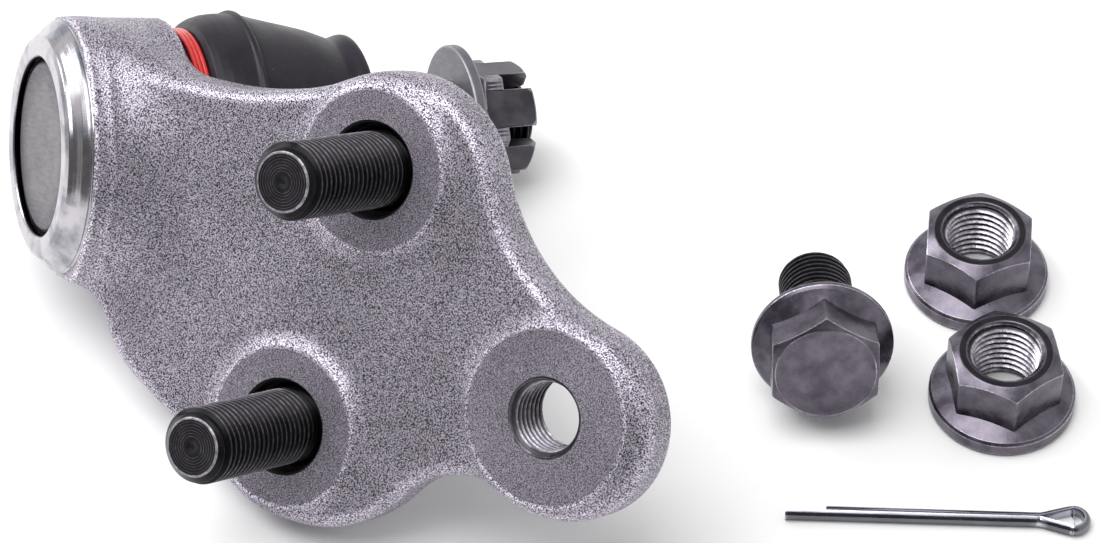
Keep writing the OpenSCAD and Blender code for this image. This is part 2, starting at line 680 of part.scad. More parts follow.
housing();
end_cap();
preload_washer();
cap_side_seat();
stud_side_seat();
ball_stud();
dust_boot();
boot_clamp_ring();
boot_lip_ring();
upper_plate_stud();
lower_plate_stud();
castle_nut();
nut_washer();
flange_bolt();
flange_nut_a();
flange_nut_b();
cotter_pin();
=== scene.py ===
"""Dresses a bolt-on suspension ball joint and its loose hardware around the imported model.

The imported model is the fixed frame. Sizes in this file are millimetres in a piece's own frame, and a
piece's mesh is written out in metres in the row frame.
"""

from __future__ import annotations

import logging
import math
from collections.abc import Callable, Sequence
from dataclasses import dataclass, field, replace
from enum import Enum

import bmesh
import bpy
import numpy as np
from mathutils import Matrix


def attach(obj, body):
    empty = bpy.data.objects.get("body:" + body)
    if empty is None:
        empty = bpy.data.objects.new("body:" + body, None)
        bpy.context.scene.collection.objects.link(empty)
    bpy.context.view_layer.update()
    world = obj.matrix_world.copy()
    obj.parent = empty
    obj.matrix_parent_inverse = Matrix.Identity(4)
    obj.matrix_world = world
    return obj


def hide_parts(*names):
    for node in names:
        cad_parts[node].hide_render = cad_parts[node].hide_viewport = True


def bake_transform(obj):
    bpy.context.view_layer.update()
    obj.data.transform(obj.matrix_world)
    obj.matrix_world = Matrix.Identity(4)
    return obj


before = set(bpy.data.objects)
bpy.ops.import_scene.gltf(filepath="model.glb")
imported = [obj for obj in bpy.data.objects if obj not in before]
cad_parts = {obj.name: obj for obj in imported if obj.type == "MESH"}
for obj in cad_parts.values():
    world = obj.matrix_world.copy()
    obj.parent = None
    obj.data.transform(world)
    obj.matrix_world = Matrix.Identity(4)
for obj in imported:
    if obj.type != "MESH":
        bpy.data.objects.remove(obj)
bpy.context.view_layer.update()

MM = 0.001
FULL_TURN = 2 * math.pi
WIDE_FACE = 0.6  # square millimetres from which a cut piece's face gets lines along its edges
SUPPORT = 0.25  # how far beyond a rounded corner its flat neighbours get a line of points
PITCH = 1.25  # every thread's pitch
OUTER_CREST, OUTER_ROOT = 6.0, 5.26  # radii of the threads on the studs and the bolt
INNER_CREST, INNER_ROOT = 5.35, 6.03  # radii of the threads in the nuts and the tapped hole
HEX_CORNER = 0.6  # rounding of every hexagon's upright corners

Array = np.ndarray
Outline = list[tuple[float, float]]
Socket = bpy.types.NodeSocket
log = logging.getLogger("ball_joint")


class Body(Enum):
    """The bodies that pieces ride on."""

    BRACKET = "bracket"
    BOOT_SLEEVE = "boot_sleeve"
    BOOT_END = "boot_end"
    STUD = "stud"
    CAPTIVE_WASHER = "captive_washer"
    BOLT = "bolt"
    NUT_A = "nut_a"
    NUT_B = "nut_b"
    COTTER = "cotter"


class Facing(Enum):
    """Which way a threaded surface faces."""

    OUT = 1
    IN = -1


# Places


def turned_by(x: float, y: float, z: float) -> Array:
    """Rotation matrix of turns about X, then Y, then Z.

    Args:
        x: Turn about X in degrees.
        y: Turn about Y in degrees.
        z: Turn about Z in degrees.

    Returns:
        The 3 by 3 matrix.
    """
    (ca, sa), (cb, sb), (cc, sc) = [(math.cos(math.radians(v)), math.sin(math.radians(v))) for v in (x, y, z)]
    about_x = np.array([[1, 0, 0], [0, ca, -sa], [0, sa, ca]])
    about_y = np.array([[cb, 0, sb], [0, 1, 0], [-sb, 0, cb]])
    about_z = np.array([[cc, -sc, 0], [sc, cc, 0], [0, 0, 1]])
    return about_z @ about_y @ about_x


@dataclass(frozen=True)
class Place:
    """A frame inside the row frame: where its origin is, in millimetres, and how it is turned."""

    spot: Array = field(default_factory=lambda: np.zeros(3))
    turn: Array = field(default_factory=lambda: np.eye(3))

    def out(self, points: Array) -> Array:
        """Points of this frame, in the row frame."""
        return np.asarray(points, float) @ self.turn.T + self.spot

    def inside(self, spot: Sequence[float] = (0, 0, 0), turn: Sequence[float] = (0, 0, 0)) -> Place:
        """A frame that is moved by spot and then turned by turn degrees inside this one."""
        return Place(self.out(np.array(spot)), self.turn @ turned_by(*turn))


@dataclass(frozen=True)
class Layout:
    """Where the joint and its loose pieces lie."""

    lie_turn: tuple[float, float, float] = (49.664, -23.341, -18.749)
    lie_at: tuple[float, float, float] = (-39.78, -28.43, 17.2534)
    upper_at: tuple[float, float] = (20.798, 39.115)
    hole_at: tuple[float, float] = (47.7, 0.0)
    ball_at: tuple[float, float, float] = (-35.2, 45.3, -14.3)
    housing_tilt: float = 37.8
    housing_turn: float = -8.1
    rest_swing_a: float = -3.8
    rest_swing_b: float = -0.2

    @property
    def plate(self) -> Place:
        """The plate's frame: origin on the lower boss face, boss faces up."""
        return Place(np.array(self.lie_at), turned_by(*self.lie_turn))

    @property
    def housing_in_plate(self) -> Place:
        """The housing's frame, in the plate's frame."""
        return Place(np.array(self.ball_at), turned_by(0, 180 - self.housing_tilt, self.housing_turn))

    @property
    def housing(self) -> Place:
        """The housing's frame: origin in the ball, Z towards the castle nut."""
        return self.plate.inside(self.ball_at, (0, 180 - self.housing_tilt, self.housing_turn))

    @property
    def stud(self) -> Place:
        """The ball stud's frame, as it swings at rest."""
        return self.housing.inside(turn=(self.rest_swing_a, 0, 0)).inside(turn=(0, self.rest_swing_b, 0))


LAYOUT = Layout()


# Meshes


@dataclass
class Net:
    """Points and faces of a mesh in its own frame, in millimetres."""

    points: Array
    faces: list[tuple[int, ...]]

    def joined(self, *others: Net) -> Net:
        """Joins this net and others.

        Args:
            *others: The nets to add.

        Returns:
            One net with the faces of all.
        """
        points, faces = self.points, list(self.faces)
        for other in others:
            shift = len(points)
            faces += [tuple(i + shift for i in f) for f in other.faces]
            points = np.vstack([points, other.points])
        return Net(points, faces)


def sheet_net(rows: Array, round_it: bool = True) -> Net:
    """Quads over a table of points.

    Args:
        rows: Points as rows by columns by 3.
        round_it: Whether the last column meets the first.

    Returns:
        The net.
    """
    n_rows, n_cols = rows.shape[:2]
    cols = n_cols if round_it else n_cols - 1
    r, c = np.meshgrid(np.arange(n_rows - 1), np.arange(cols), indexing="ij")
    after = (c + 1) % n_cols
    quads = np.stack([r * n_cols + c, r * n_cols + after, (r + 1) * n_cols + after, (r + 1) * n_cols + c], -1)
    return Net(rows.reshape(-1, 3), [tuple(q) for q in quads.reshape(-1, 4).tolist()])


def angles(count: int) -> Array:
    """Evenly spaced angles of one turn."""
    return np.arange(count) * FULL_TURN / count


def softened(
    outline: Outline, radius: float | Sequence[float], steps: int = 4, closed: bool = False
) -> Outline:
    """Rounds the corners of an outline.

    Args:
        outline: Corner points.
        radius: Rounding radius of every corner, or one per corner.
        steps: Points per rounded corner, less one.
        closed: Whether the last corner meets the first.

    Returns:
        The outline with an arc at each corner.
    """
    corners = np.array(outline, float)
    n = len(corners)
    radii = [radius] * n if isinstance(radius, (int, float)) else list(radius)
    out: Outline = []
    for i, here in enumerate(corners):
        if not closed and i in (0, n - 1) or radii[i] <= 0:
            out.append(tuple(here))
            continue
        back, ahead = corners[i - 1] - here, corners[(i + 1) % n] - here
        l_back, l_ahead = np.linalg.norm(back), np.linalg.norm(ahead)
        back, ahead = back / l_back, ahead / l_ahead
        half = math.acos(float(np.clip(back @ ahead, -1, 1))) / 2
        if half > math.pi / 2 - 0.02:
            out.append(tuple(here))
            continue
        cut = min(radii[i] / math.tan(half), l_back * 0.48, l_ahead * 0.48)
        start, end = here + back * cut, here + ahead * cut
        if l_back * 0.5 > cut + SUPPORT:
            out.append(tuple(here + back * (cut + SUPPORT)))
        for k in range(steps + 1):
            t = k / steps
            out.append(tuple((1 - t) ** 2 * start + 2 * t * (1 - t) * here + t * t * end))
        if l_ahead * 0.5 > cut + SUPPORT:
            out.append(tuple(here + ahead * (cut + SUPPORT)))
    return out


def turned_net(outline: Outline, count: int = 128, closed: bool = False) -> Net:
    """Turns an outline of (radius, height) points about Z.

    Args:
        outline: The outline; a point on the axis becomes a pole.
        count: Columns round the axis.
        closed: Whether the outline's end meets its start.

    Returns:
        The net.
    """
    profile = np.array(list(outline) + ([outline[0]] if closed else []), float)
    a = angles(count)
    r, z = profile[:, :1], profile[:, 1:]
    rows = np.stack([r * np.cos(a), r * np.sin(a), z + 0 * a], -1)
    return sheet_net(rows)


def smooth_line(points: Outline, per_span: int = 5) -> Outline:
    """A smooth curve through outline points.

    Args:
        points: Points it goes through.
        per_span: Pieces between two points.

    Returns:
        The finer outline.
    """
    p = np.array([points[0], *points, points[-1]], float)
    out: Outline = []
    for i in range(1, len(p) - 2):
        for t in np.arange(per_span) / per_span:
            a, b, c, d = p[i - 1 : i + 3]
            squared, cubed = 2 * a - 5 * b + 4 * c - d, 3 * b - a - 3 * c + d
            out.append(tuple(0.5 * (2 * b + (c - a) * t + squared * t**2 + cubed * t**3)))
    out.append(tuple(p[-2]))
    return out


@dataclass(frozen=True)
class Thread:
    """A right-hand screw thread about Z.

    Fields are its height range, crest and root radius, and how far each end runs out to a plain cone.
    """

    low: float
    high: float
    crest: float
    root: float
    facing: Facing = Facing.OUT
    pitch: float = PITCH
    chamfer_low: float = 0.0
    chamfer_high: float = 0.0
    count: int = 96

    def radius(self, z: Array, phase: Array) -> Array:
        """Finds the thread's radius.

        Args:
            z: Heights.
            phase: Phase of the thread there, 0 to 1, with the crest at a half.

        Returns:
            The radius at each height.
        """
        root_share, flank_share = 0.16, 0.7
        flank = np.clip((0.5 - np.abs(phase - 0.5)) / 0.5, 0, 1)
        lift = np.clip((flank - root_share) / flank_share, 0, 1)
        r = self.root + (self.crest - self.root) * lift
        for size, away in ((self.chamfer_low, z - self.low), (self.chamfer_high, self.high - z)):
            if size <= 0:
                continue
            cone = np.clip(size - away, 0, None)
            if self.facing is Facing.OUT:
                r = np.minimum(r, self.crest - cone)
            else:
                r = np.maximum(r, self.crest + cone)
        return r

    def net(self) -> Net:
        """Makes the surface, whose mesh lines follow the helix.

        Returns:
            The net, open at both ends.
        """
        a = np.arange(self.count + 1) * FULL_TURN / self.count
        turns = int(math.ceil((self.high - self.low) / self.pitch)) + 2
        phases = np.array([0.0, 0.08, 0.43, 0.5, 0.57, 0.92])
        steps = (np.arange(-2, turns)[:, None] + phases[None, :]).ravel()
        z = self.low + (steps[:, None] + a[None, :] / FULL_TURN) * self.pitch
        z = np.clip(z, self.low, self.high)
        phase = np.mod((z - self.low) / self.pitch - a[None, :] / FULL_TURN + 1e-9, 1.0)
        r = self.radius(z, phase)
        rows = np.stack([r * np.cos(a), r * np.sin(a), z], -1)
        return sheet_net(rows[:, :: self.facing.value], round_it=False)


def swept_net(path: Array, normals: Array, section: Outline) -> Net:
    """Carries a closed section along an open path.

    Args:
        path: Points of the path.
        normals: One direction per point for the section's first axis.
        section: Closed section as (along the normal, along the binormal).

    Returns:
        The net, with its two ends capped.
    """
    ahead = np.gradient(path, axis=0)
    ahead /= np.linalg.norm(ahead, axis=1, keepdims=True)
    across = normals - (normals * ahead).sum(1, keepdims=True) * ahead
    across /= np.linalg.norm(across, axis=1, keepdims=True)
    upward = np.cross(ahead, across)
    s = np.array(section, float)
    rows = path[:, None, :] + s[None, :, :1] * across[:, None, :] + s[None, :, 1:] * upward[:, None, :]
    net = sheet_net(rows)
    n = len(section)
    last = len(net.points) - n
    net.faces += [tuple(reversed(range(n))), tuple(range(last, last + n))]
    return net


def hex_radius(angle: Array, flats: float, corner: float) -> Array:
    """Radius of a hexagon with rounded corners, with a flat's middle at angle 0.

    Args:
        angle: Angles in radians.
        flats: Width across the flats.
        corner: Corner radius.

    Returns:
        The radius at each angle.
    """
    sixth = FULL_TURN / 6
    to_flat = np.abs(np.mod(angle + sixth / 2, sixth) - sixth / 2)
    flat = flats / 2 / np.cos(to_flat)
    middle = (flats / 2 - corner) / math.cos(sixth / 2)
    to_corner = sixth / 2 - to_flat
    inside = np.clip(corner**2 - (middle * np.sin(to_corner)) ** 2, 0, None)
    rounded = middle * np.cos(to_corner) + np.sqrt(inside)
    touch = math.atan2((flats / 2 - corner) * math.tan(sixth / 2), flats / 2)
    return np.where(to_flat > touch, rounded, flat)


def hex_angles(flats: float, corner: float) -> Array:
    """Chooses the columns of a hexagon, close together on its corners.

    Args:
        flats: Width across the flats.
        corner: Corner radius.

    Returns:
        The columns' angles in radians.
    """
    sixth = FULL_TURN / 6
    touch = math.atan2((flats / 2 - corner) * math.tan(sixth / 2), flats / 2)
    side = np.concatenate([np.linspace(-touch, touch, 17), np.linspace(touch, sixth - touch, 7)[1:-1]])
    return np.concatenate([side + k * sixth for k in range(6)])


@dataclass(frozen=True)
class Hexagon:
    """Hexagon prism with its corners turned off by a cone at its top, and at its foot if asked.

    Fields are its width across flats, its height range, how far the cone comes down on a corner and the
    radius of the face inside it, the same drop at the foot, the slope that the foot stands on, the rounding
    of the cone's edges and of the upright corners.
    """

    flats: float
    low: float
    high: float
    chamfer_drop: float
    face_r: float
    foot_drop: float = 0.0
    foot_slope: float = 0.0
    soft: float = 0.25
    corner: float = HEX_CORNER

    def net(self, inner: Outline, outer_foot: Outline = ()) -> Net:
        """The prism's skin.

        Args:
            inner: Points that lead from the top face inwards, as (radius, height).
            outer_foot: Points that lead to the prism's lower edge.

        Returns:
            The net.
        """
        a = hex_angles(self.flats, self.corner)
        side = hex_radius(a, self.flats, self.corner)
        corner_r = float(side.max())
        slope = self.chamfer_drop / (corner_r - self.face_r)
        rows = [(np.full_like(a, r), np.full_like(a, z)) for r, z in outer_foot]
        if self.foot_drop > 0:
            foot_rise = np.clip((side - self.flats / 2) / (corner_r - self.flats / 2), 0, 1) * self.foot_drop
            foot_top = self.low + foot_rise + 0.02
            rows.append((side - foot_rise, np.full_like(a, self.low)))
            rows += [(side, foot_top), (side, foot_top + SUPPORT)]
        else:
            rows.append((side, self.low + (corner_r - side) * self.foot_slope))
        start = np.clip(self.high - (side - self.face_r) * slope, self.low, self.high)
        reach = math.hypot(1, slope)
        soft = np.minimum(self.soft, 0.2 * (side - self.face_r) * reach)
        across_edge = (-2.0, -1.0, -0.45, 0.0, 0.45, 1.0, 2.0)
        for t in across_edge:
            sag = 0.12 * soft * max(1 - abs(t), 0.0) ** 2
            if t < 0:
                rows.append((side - sag, start + t * self.soft))
            else:
                rows.append((side - t * soft / reach - sag, start + t * soft * slope / reach))
        for t in reversed(across_edge):
            sag = 0.1 * soft * max(1 - abs(t), 0.0) ** 2
            outward = t * (soft / reach if t > 0 else self.soft)
            rows.append((self.face_r + outward, self.high - max(t, 0.0) * soft / reach * slope - sag))
        rows += [(np.full_like(a, r), np.full_like(a, z)) for r, z in inner]
        table = np.stack([np.stack([r * np.cos(a), r * np.sin(a), z], -1) for r, z in rows])
        return sheet_net(table)


# Pieces


def new_piece(
    name: str,
    net: Net,
    place: Place,
    finish: Finish,
    body: Body | None,
    node: str | None = None,
    sharp: float = 38.0,
    bend: Callable[[Array], Array] | None = None,
    as_laid: bool = False,
) -> bpy.types.Object:
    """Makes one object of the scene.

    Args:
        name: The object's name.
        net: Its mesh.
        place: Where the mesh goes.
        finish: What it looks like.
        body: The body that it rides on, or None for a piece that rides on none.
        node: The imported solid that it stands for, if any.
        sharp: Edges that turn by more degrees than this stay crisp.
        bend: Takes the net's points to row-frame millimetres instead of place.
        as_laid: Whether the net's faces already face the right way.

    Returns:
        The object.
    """
    row = bend(net.points) if bend else place.out(net.points)
    mesh = bpy.data.meshes.new(name)
    mesh.from_pydata((row * MM).tolist(), [], net.faces)
    local = mesh.attributes.new("local", "FLOAT_VECTOR", "POINT")
    local.data.foreach_set("vector", net.points.astype(np.float32).ravel())
    obj = bpy.data.objects.new(name, mesh)
    bpy.context.scene.collection.objects.link(obj)
    clean_up(mesh, sharp, as_laid)
    mark_raised(mesh)
    mesh.materials.append(finish.material())
    if body is not None:
        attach(obj, body.value)
    if node:
        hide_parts(node)
    log.info("%s: %d faces", name, len(mesh.polygons))
    return obj


def clean_up(mesh: bpy.types.Mesh, sharp: float, as_laid: bool = False) -> None:
    """Merges doubled points, turns the faces outwards and marks crisp edges.

    Args:
        mesh: The mesh.
        sharp: Edges that turn by more degrees than this stay crisp.
        as_laid: Whether the faces already face the right way.
    """
    bm = bmesh.new()
    bm.from_mesh(mesh)
    bmesh.ops.remove_doubles(bm, verts=bm.verts, dist=2e-6)
    bmesh.ops.dissolve_degenerate(bm, edges=bm.edges, dist=1e-6)
    if not as_laid:
        bmesh.ops.recalc_face_normals(bm, faces=bm.faces)
    for face in bm.faces:
        face.smooth = True
    bm.to_mesh(mesh)
    bm.free()
    mesh.set_sharp_from_angle(angle=math.radians(sharp))


def mark_raised(mesh: bpy.types.Mesh) -> None:
    """Keeps how sharply the surface bends outwards at each point, in 1/mm, as the attribute raised.

    Args:
        mesh: The mesh.
    """
    count = len(mesh.vertices)
    points, normals, ends = np.empty(3 * count), np.empty(3 * count), np.empty(2 * len(mesh.edges))
    mesh.vertices.foreach_get("co", points)
    mesh.vertices.foreach_get("normal", normals)
    mesh.edges.foreach_get("vertices", ends)
    points, normals = points.reshape(-1, 3) / MM, normals.reshape(-1, 3)
    a, b = ends.astype(int).reshape(-1, 2).T
    step = points[a] - points[b]
    size = np.clip((step**2).sum(1), 1e-4, None)
    touching = np.maximum(np.bincount(a, minlength=count) + np.bincount(b, minlength=count), 1)

    def gathered(at_a: Array, at_b: Array) -> Array:
        """Mean at each point of what its edges say there."""
        total = np.bincount(a, at_a, count) + np.bincount(b, at_b, count)
        return total / touching

    bend = gathered(2 * (normals[a] * step).sum(1) / size, -2 * (normals[b] * step).sum(1) / size)
    bend = 0.5 * (bend + gathered(bend[b], bend[a]))
    known = mesh.attributes.get("raised") or mesh.attributes.new("raised", "FLOAT", "POINT")
    known.data.foreach_set("value", bend.astype(np.float32))


def cut_with(obj: bpy.types.Object, net: Net, place: Place) -> None:
    """Cuts a closed net out of an object and keeps the result as its mesh.

    Args:
        obj: The object.
        net: What is cut away, in the frame of place.
        place: Where it goes.
    """
    mesh = bpy.data.meshes.new("cutter")
    mesh.from_pydata((place.out(net.points) * MM).tolist(), [], net.faces)
    clean_up(mesh, 30)
    tool = bpy.data.objects.new("cutter", mesh)
    bpy.context.scene.collection.objects.link(tool)
    cut = obj.modifiers.new("cut", "BOOLEAN")
    cut.object = tool
    cut.operation = "DIFFERENCE"
    cut.solver = "EXACT"
    keep_modifiers(obj)
    bpy.data.objects.remove(tool)


def keep_modifiers(obj: bpy.types.Object) -> None:
    """Makes what an object's modifiers show its own mesh.

    Args:
        obj: The object.
    """
    graph = bpy.context.evaluated_depsgraph_get()
    shown = bpy.data.meshes.new_from_object(obj.evaluated_get(graph))
    obj.modifiers.clear()
    old, obj.data = obj.data, shown
    bpy.data.meshes.remove(old)
    mark_raised(obj.data)


def box_net(low: Sequence[float], high: Sequence[float]) -> Net:
    """Makes a block.

    Args:
        low: Its lowest corner.
        high: Its highest corner.

    Returns:
        The net.
    """
    x, y, z = zip(low, high)
    points = np.array([(x[i], y[j], z[k]) for k in (0, 1) for j in (0, 1) for i in (0, 1)], float)
    return Net(points, [(0, 2, 3, 1), (4, 5, 7, 6), (0, 1, 5, 4), (2, 6, 7, 3), (0, 4, 6, 2), (1, 3, 7, 5)])


# Finishes


class Graph:
    """The nodes of one material, added one at a time round a Principled shader."""

    def __init__(self, name: str, own_points: bool) -> None:
        """Starts a material.

        Args:
            name: The material's name.
            own_points: Whether the mesh carries its own points, which the pieces made here do.
        """
        self.material = bpy.data.materials.new(name)
        self.material.use_nodes = True
        self.tree = self.material.node_tree
        self.tree.nodes.clear()
        self.shader = self.add("BsdfPrincipled")
        self.add("OutputMaterial", Surface=self.shader.outputs[0])
        if own_points:
            self.points = self.add("Attribute", {"attribute_name": "local"}).outputs["Vector"]
        else:
            place = self.add("TexCoord").outputs["Object"]
            scaled = self.add("VectorMath", {"operation": "SCALE"}, Vector=place, Scale=1 / MM)
            self.points = scaled.outputs[0]

    def add(self, kind: str, settings: dict[str, object] | None = None, **sockets: object) -> bpy.types.Node:
        """Adds a node.

        Args:
            kind: Node type without its common beginning.
            settings: Node properties.
            **sockets: Values or sockets for its inputs; in2 is the third input, and _ stands for a space.

        Returns:
            The node.
        """
        node = self.tree.nodes.new("ShaderNode" + kind)
        for key, value in (settings or {}).items():
            setattr(node, key, value)
        for key, value in sockets.items():
            at = int(key[2:]) if key[:2] == "in" and key[2:].isdigit() else key.replace("_", " ")
            if isinstance(value, Socket):
                self.tree.links.new(value, node.inputs[at])
            else:
                node.inputs[at].default_value = value
        return node

    def sum(self, kind: str, a: object, b: object) -> Socket:
        """Works out a with b, where kind is ADD, MULTIPLY or the like."""
        return self.add("Math", {"operation": kind}, in0=a, in1=b).outputs[0]

    def noise(
        self, size: float, detail: float = 2.0, at: Socket | None = None, rough: float = 0.55
    ) -> Socket:
        """Adds noise from 0 to 1.

        Args:
            size: About how far across its lumps are, in millimetres.
            detail: How many finer layers it has.
            at: The points that it is read at; without them, the piece's own.
            rough: How strong the finer layers are.

        Returns:
            The noise.
        """
        away = {"Location": (17.3, 31.7, 8.9), "Rotation": (0.6, 0.4, 0.9)}
        moved = self.add("Mapping", Vector=at or self.points, **away)
        node = self.add("TexNoise", Vector=moved.outputs[0], Scale=1 / size, Detail=detail, Roughness=rough)
        return node.outputs["Fac"]

    def spread(
        self, value: object, low: float, high: float, to_low: float = 0.0, to_high: float = 1.0
    ) -> Socket:
        """Spreads a range of a value over another range, and holds it inside that.

        Args:
            value: The value.
            low: Where its range starts.
            high: Where its range ends.
            to_low: What low becomes.
            to_high: What high becomes.

        Returns:
            The new value.
        """
        node = self.add("MapRange", Value=value, From_Min=low, From_Max=high, To_Min=to_low, To_Max=to_high)
        return node.outputs[0]

    def mixed(self, share: object, a: object, b: object) -> Socket:
        """Mixes two colours.

        Args:
            share: How much of b there is, 0 to 1.
            a: First colour.
            b: Second colour.

        Returns:
            The mixed colour.
        """
        node = self.add("Mix", {"data_type": "RGBA"})
        for index, value in ((0, share), (6, a), (7, b)):
            if isinstance(value, Socket):
                self.tree.links.new(value, node.inputs[index])
            else:
                node.inputs[index].default_value = value
        return node.outputs[2]

    def axial(self) -> tuple[Socket, Socket]:
        """Reads where a point lies round the piece's axis.

        Returns:
            Its distance from the axis and its height along it, in millimetres.
        """
        x, y, z = self.add("SeparateXYZ", Vector=self.points).outputs
        flat = self.add("CombineXYZ", X=x, Y=y).outputs[0]
        return self.add("VectorMath", {"operation": "LENGTH"}, in0=flat).outputs["Value"], z

    def rings(self, size: float) -> Socket:
        """Noise that only changes across turning marks, about size millimetres apart."""
        r, z = self.axial()
        return self.noise(size, 3.0, self.add("CombineXYZ", X=r, Y=z).outputs[0])

    def edges(self, low: float = 0.4, high: float = 1.6) -> Socket:
        """1 where the surface bends outwards by high 1/mm or more, 0 where it does by low or less."""
        return self.spread(self.add("Attribute", {"attribute_name": "raised"}).outputs["Fac"], low, high)

    def bump(self, height: object, depth: float, strength: float = 1.0) -> Socket:
        """A surface normal from a height that stands for depth millimetres."""
        return self.add("Bump", Strength=strength, Distance=depth * MM, Height=height).outputs[0]

    def set(self, **sockets: object) -> None:
        """Sets or links inputs of the shader.

        Args:
            **sockets: A value or a socket for each; _ stands for a space.
        """
        for key, value in sockets.items():
            name = key.replace("_", " ")
            if isinstance(value, Socket):
                self.tree.links.new(value, self.shader.inputs[name])
            else:
                self.shader.inputs[name].default_value = value


def grey(value: float, warm: float = 0.0) -> tuple[float, float, float, float]:
    """A grey with a trace of purple, redder where warm is above 0 and bluer below."""
    return (value * (1 + warm), value * 0.95, value * (1.02 - warm), 1.0)


def plum(value: float, tint: float) -> tuple[float, float, float, float]:
    """A grey with a purple tint."""
    return (value * (1 + 0.3 * tint), value * (1 - 0.5 * tint), value * (1 + 1.2 * tint), 1.0)


@dataclass(frozen=True)
class Finish:
    """What a surface looks like: a name, and the record's material slot that it belongs to, which is not
    used.
    """

    name: str
    slot: str
    own_points: bool = True

    def material(self) -> bpy.types.Material:
        """Makes the material once.

        Returns:
            The material.
        """
        known = bpy.data.materials.get(self.name)
        if known:
            return known
        graph = Graph(self.name, self.own_points)
        self.dress(graph)
        return graph.material

    def dress(self, g: Graph) -> None:
        """Each kind of finish adds its own nodes here."""
        raise NotImplementedError


@dataclass(frozen=True)
class BlastedSteel(Finish):
    """Shot-blasted forging: fine light and dark speckle that is brighter on its rounded edges."""

    tone: float = 0.31
    contrast: float = 0.95
    grain: float = 0.21
    dark_grain: float = 0.46
    light_grain: float = 0.55
    patch_size: float = 14.0
    roughness: float = 0.46
    metallic: float = 0.6
    depth: float = 0.05
    milled: float = 0.0
    worn: float = 0.7

    def dress(self, g: Graph) -> None:
        """Adds the finish's nodes.

        Args:
            g: The material's graph.
        """
        fine = g.noise(self.grain, 2.0, rough=0.7)
        speckle = g.spread(fine, self.dark_grain, self.light_grain)
        patches = g.spread(g.noise(self.patch_size, 3.0), 0.35, 0.65, 0.88, 1.12)
        dark = plum(self.tone * (1 - self.contrast), 0.2)
        light = plum(self.tone * (1 + self.contrast), 0.1)
        body = g.mixed(speckle, dark, light)
        worn = g.spread(g.edges(0.06, 0.5), 0.0, 1.0, 1.0, 1.0 + self.worn)
        scale = g.sum("MULTIPLY", patches, worn)
        colour = g.add("VectorMath", {"operation": "SCALE"}, Vector=body, Scale=scale).outputs[0]
        height = g.sum("ADD", fine, g.sum("MULTIPLY", g.noise(1.7, 2.0), 0.8))
        if self.milled:
            height = g.sum("ADD", height, g.sum("MULTIPLY", g.rings(0.5), self.milled))
        rough = g.spread(speckle, 0.0, 1.0, self.roughness + 0.08, self.roughness - 0.1)
        normal = g.bump(height, self.depth, 0.9)
        g.set(Base_Color=colour, Metallic=self.metallic, Roughness=rough, Normal=normal)


@dataclass(frozen=True)
class TurnedSteel(Finish):
    """Bright turned steel with fine marks round its axis and a few dull patches, and painted near black close
    to the axis as the shade on the aperture's inner wall.
    """

    tone: float = 0.5
    roughness: float = 0.2
    metallic: float = 1.0
    marks: float = 0.012
    mark_size: float = 0.22
    stain_size: float = 6.0
    dull: float = 0.5
    # painted shade: the near-black tone and the radius inside which the rim's inner wall is painted with it
    painted_shade: float = 0.003
    painted_shade_within: float | None = None

    def dress(self, g: Graph) -> None:
        """Adds the finish's nodes.

        Args:
            g: The material's graph.
        """
        marks = g.rings(self.mark_size)
        stains = g.spread(g.noise(self.stain_size, 4.0), 0.46, 0.66)
        colour = g.mixed(stains, grey(self.tone), grey(self.tone * (1 - self.dull), -0.08))
        colour = g.mixed(g.spread(marks, 0.55, 0.8, 0.0, 0.3), colour, grey(self.tone * 0.5))
        # painted shade: close to the axis the colour goes near black, as the shade on the aperture's inner
        # wall
        if self.painted_shade_within is not None:
            inside = g.spread(g.axial()[0], self.painted_shade_within, self.painted_shade_within + 0.15, 1.0, 0.0)
            colour = g.mixed(inside, colour, grey(self.painted_shade))
        rough = g.spread(g.noise(3.0, 3.0), 0.3, 0.7, self.roughness - 0.05, self.roughness + 0.12)
        g.set(Base_Color=colour, Metallic=self.metallic, Roughness=rough, Normal=g.bump(marks, self.marks))


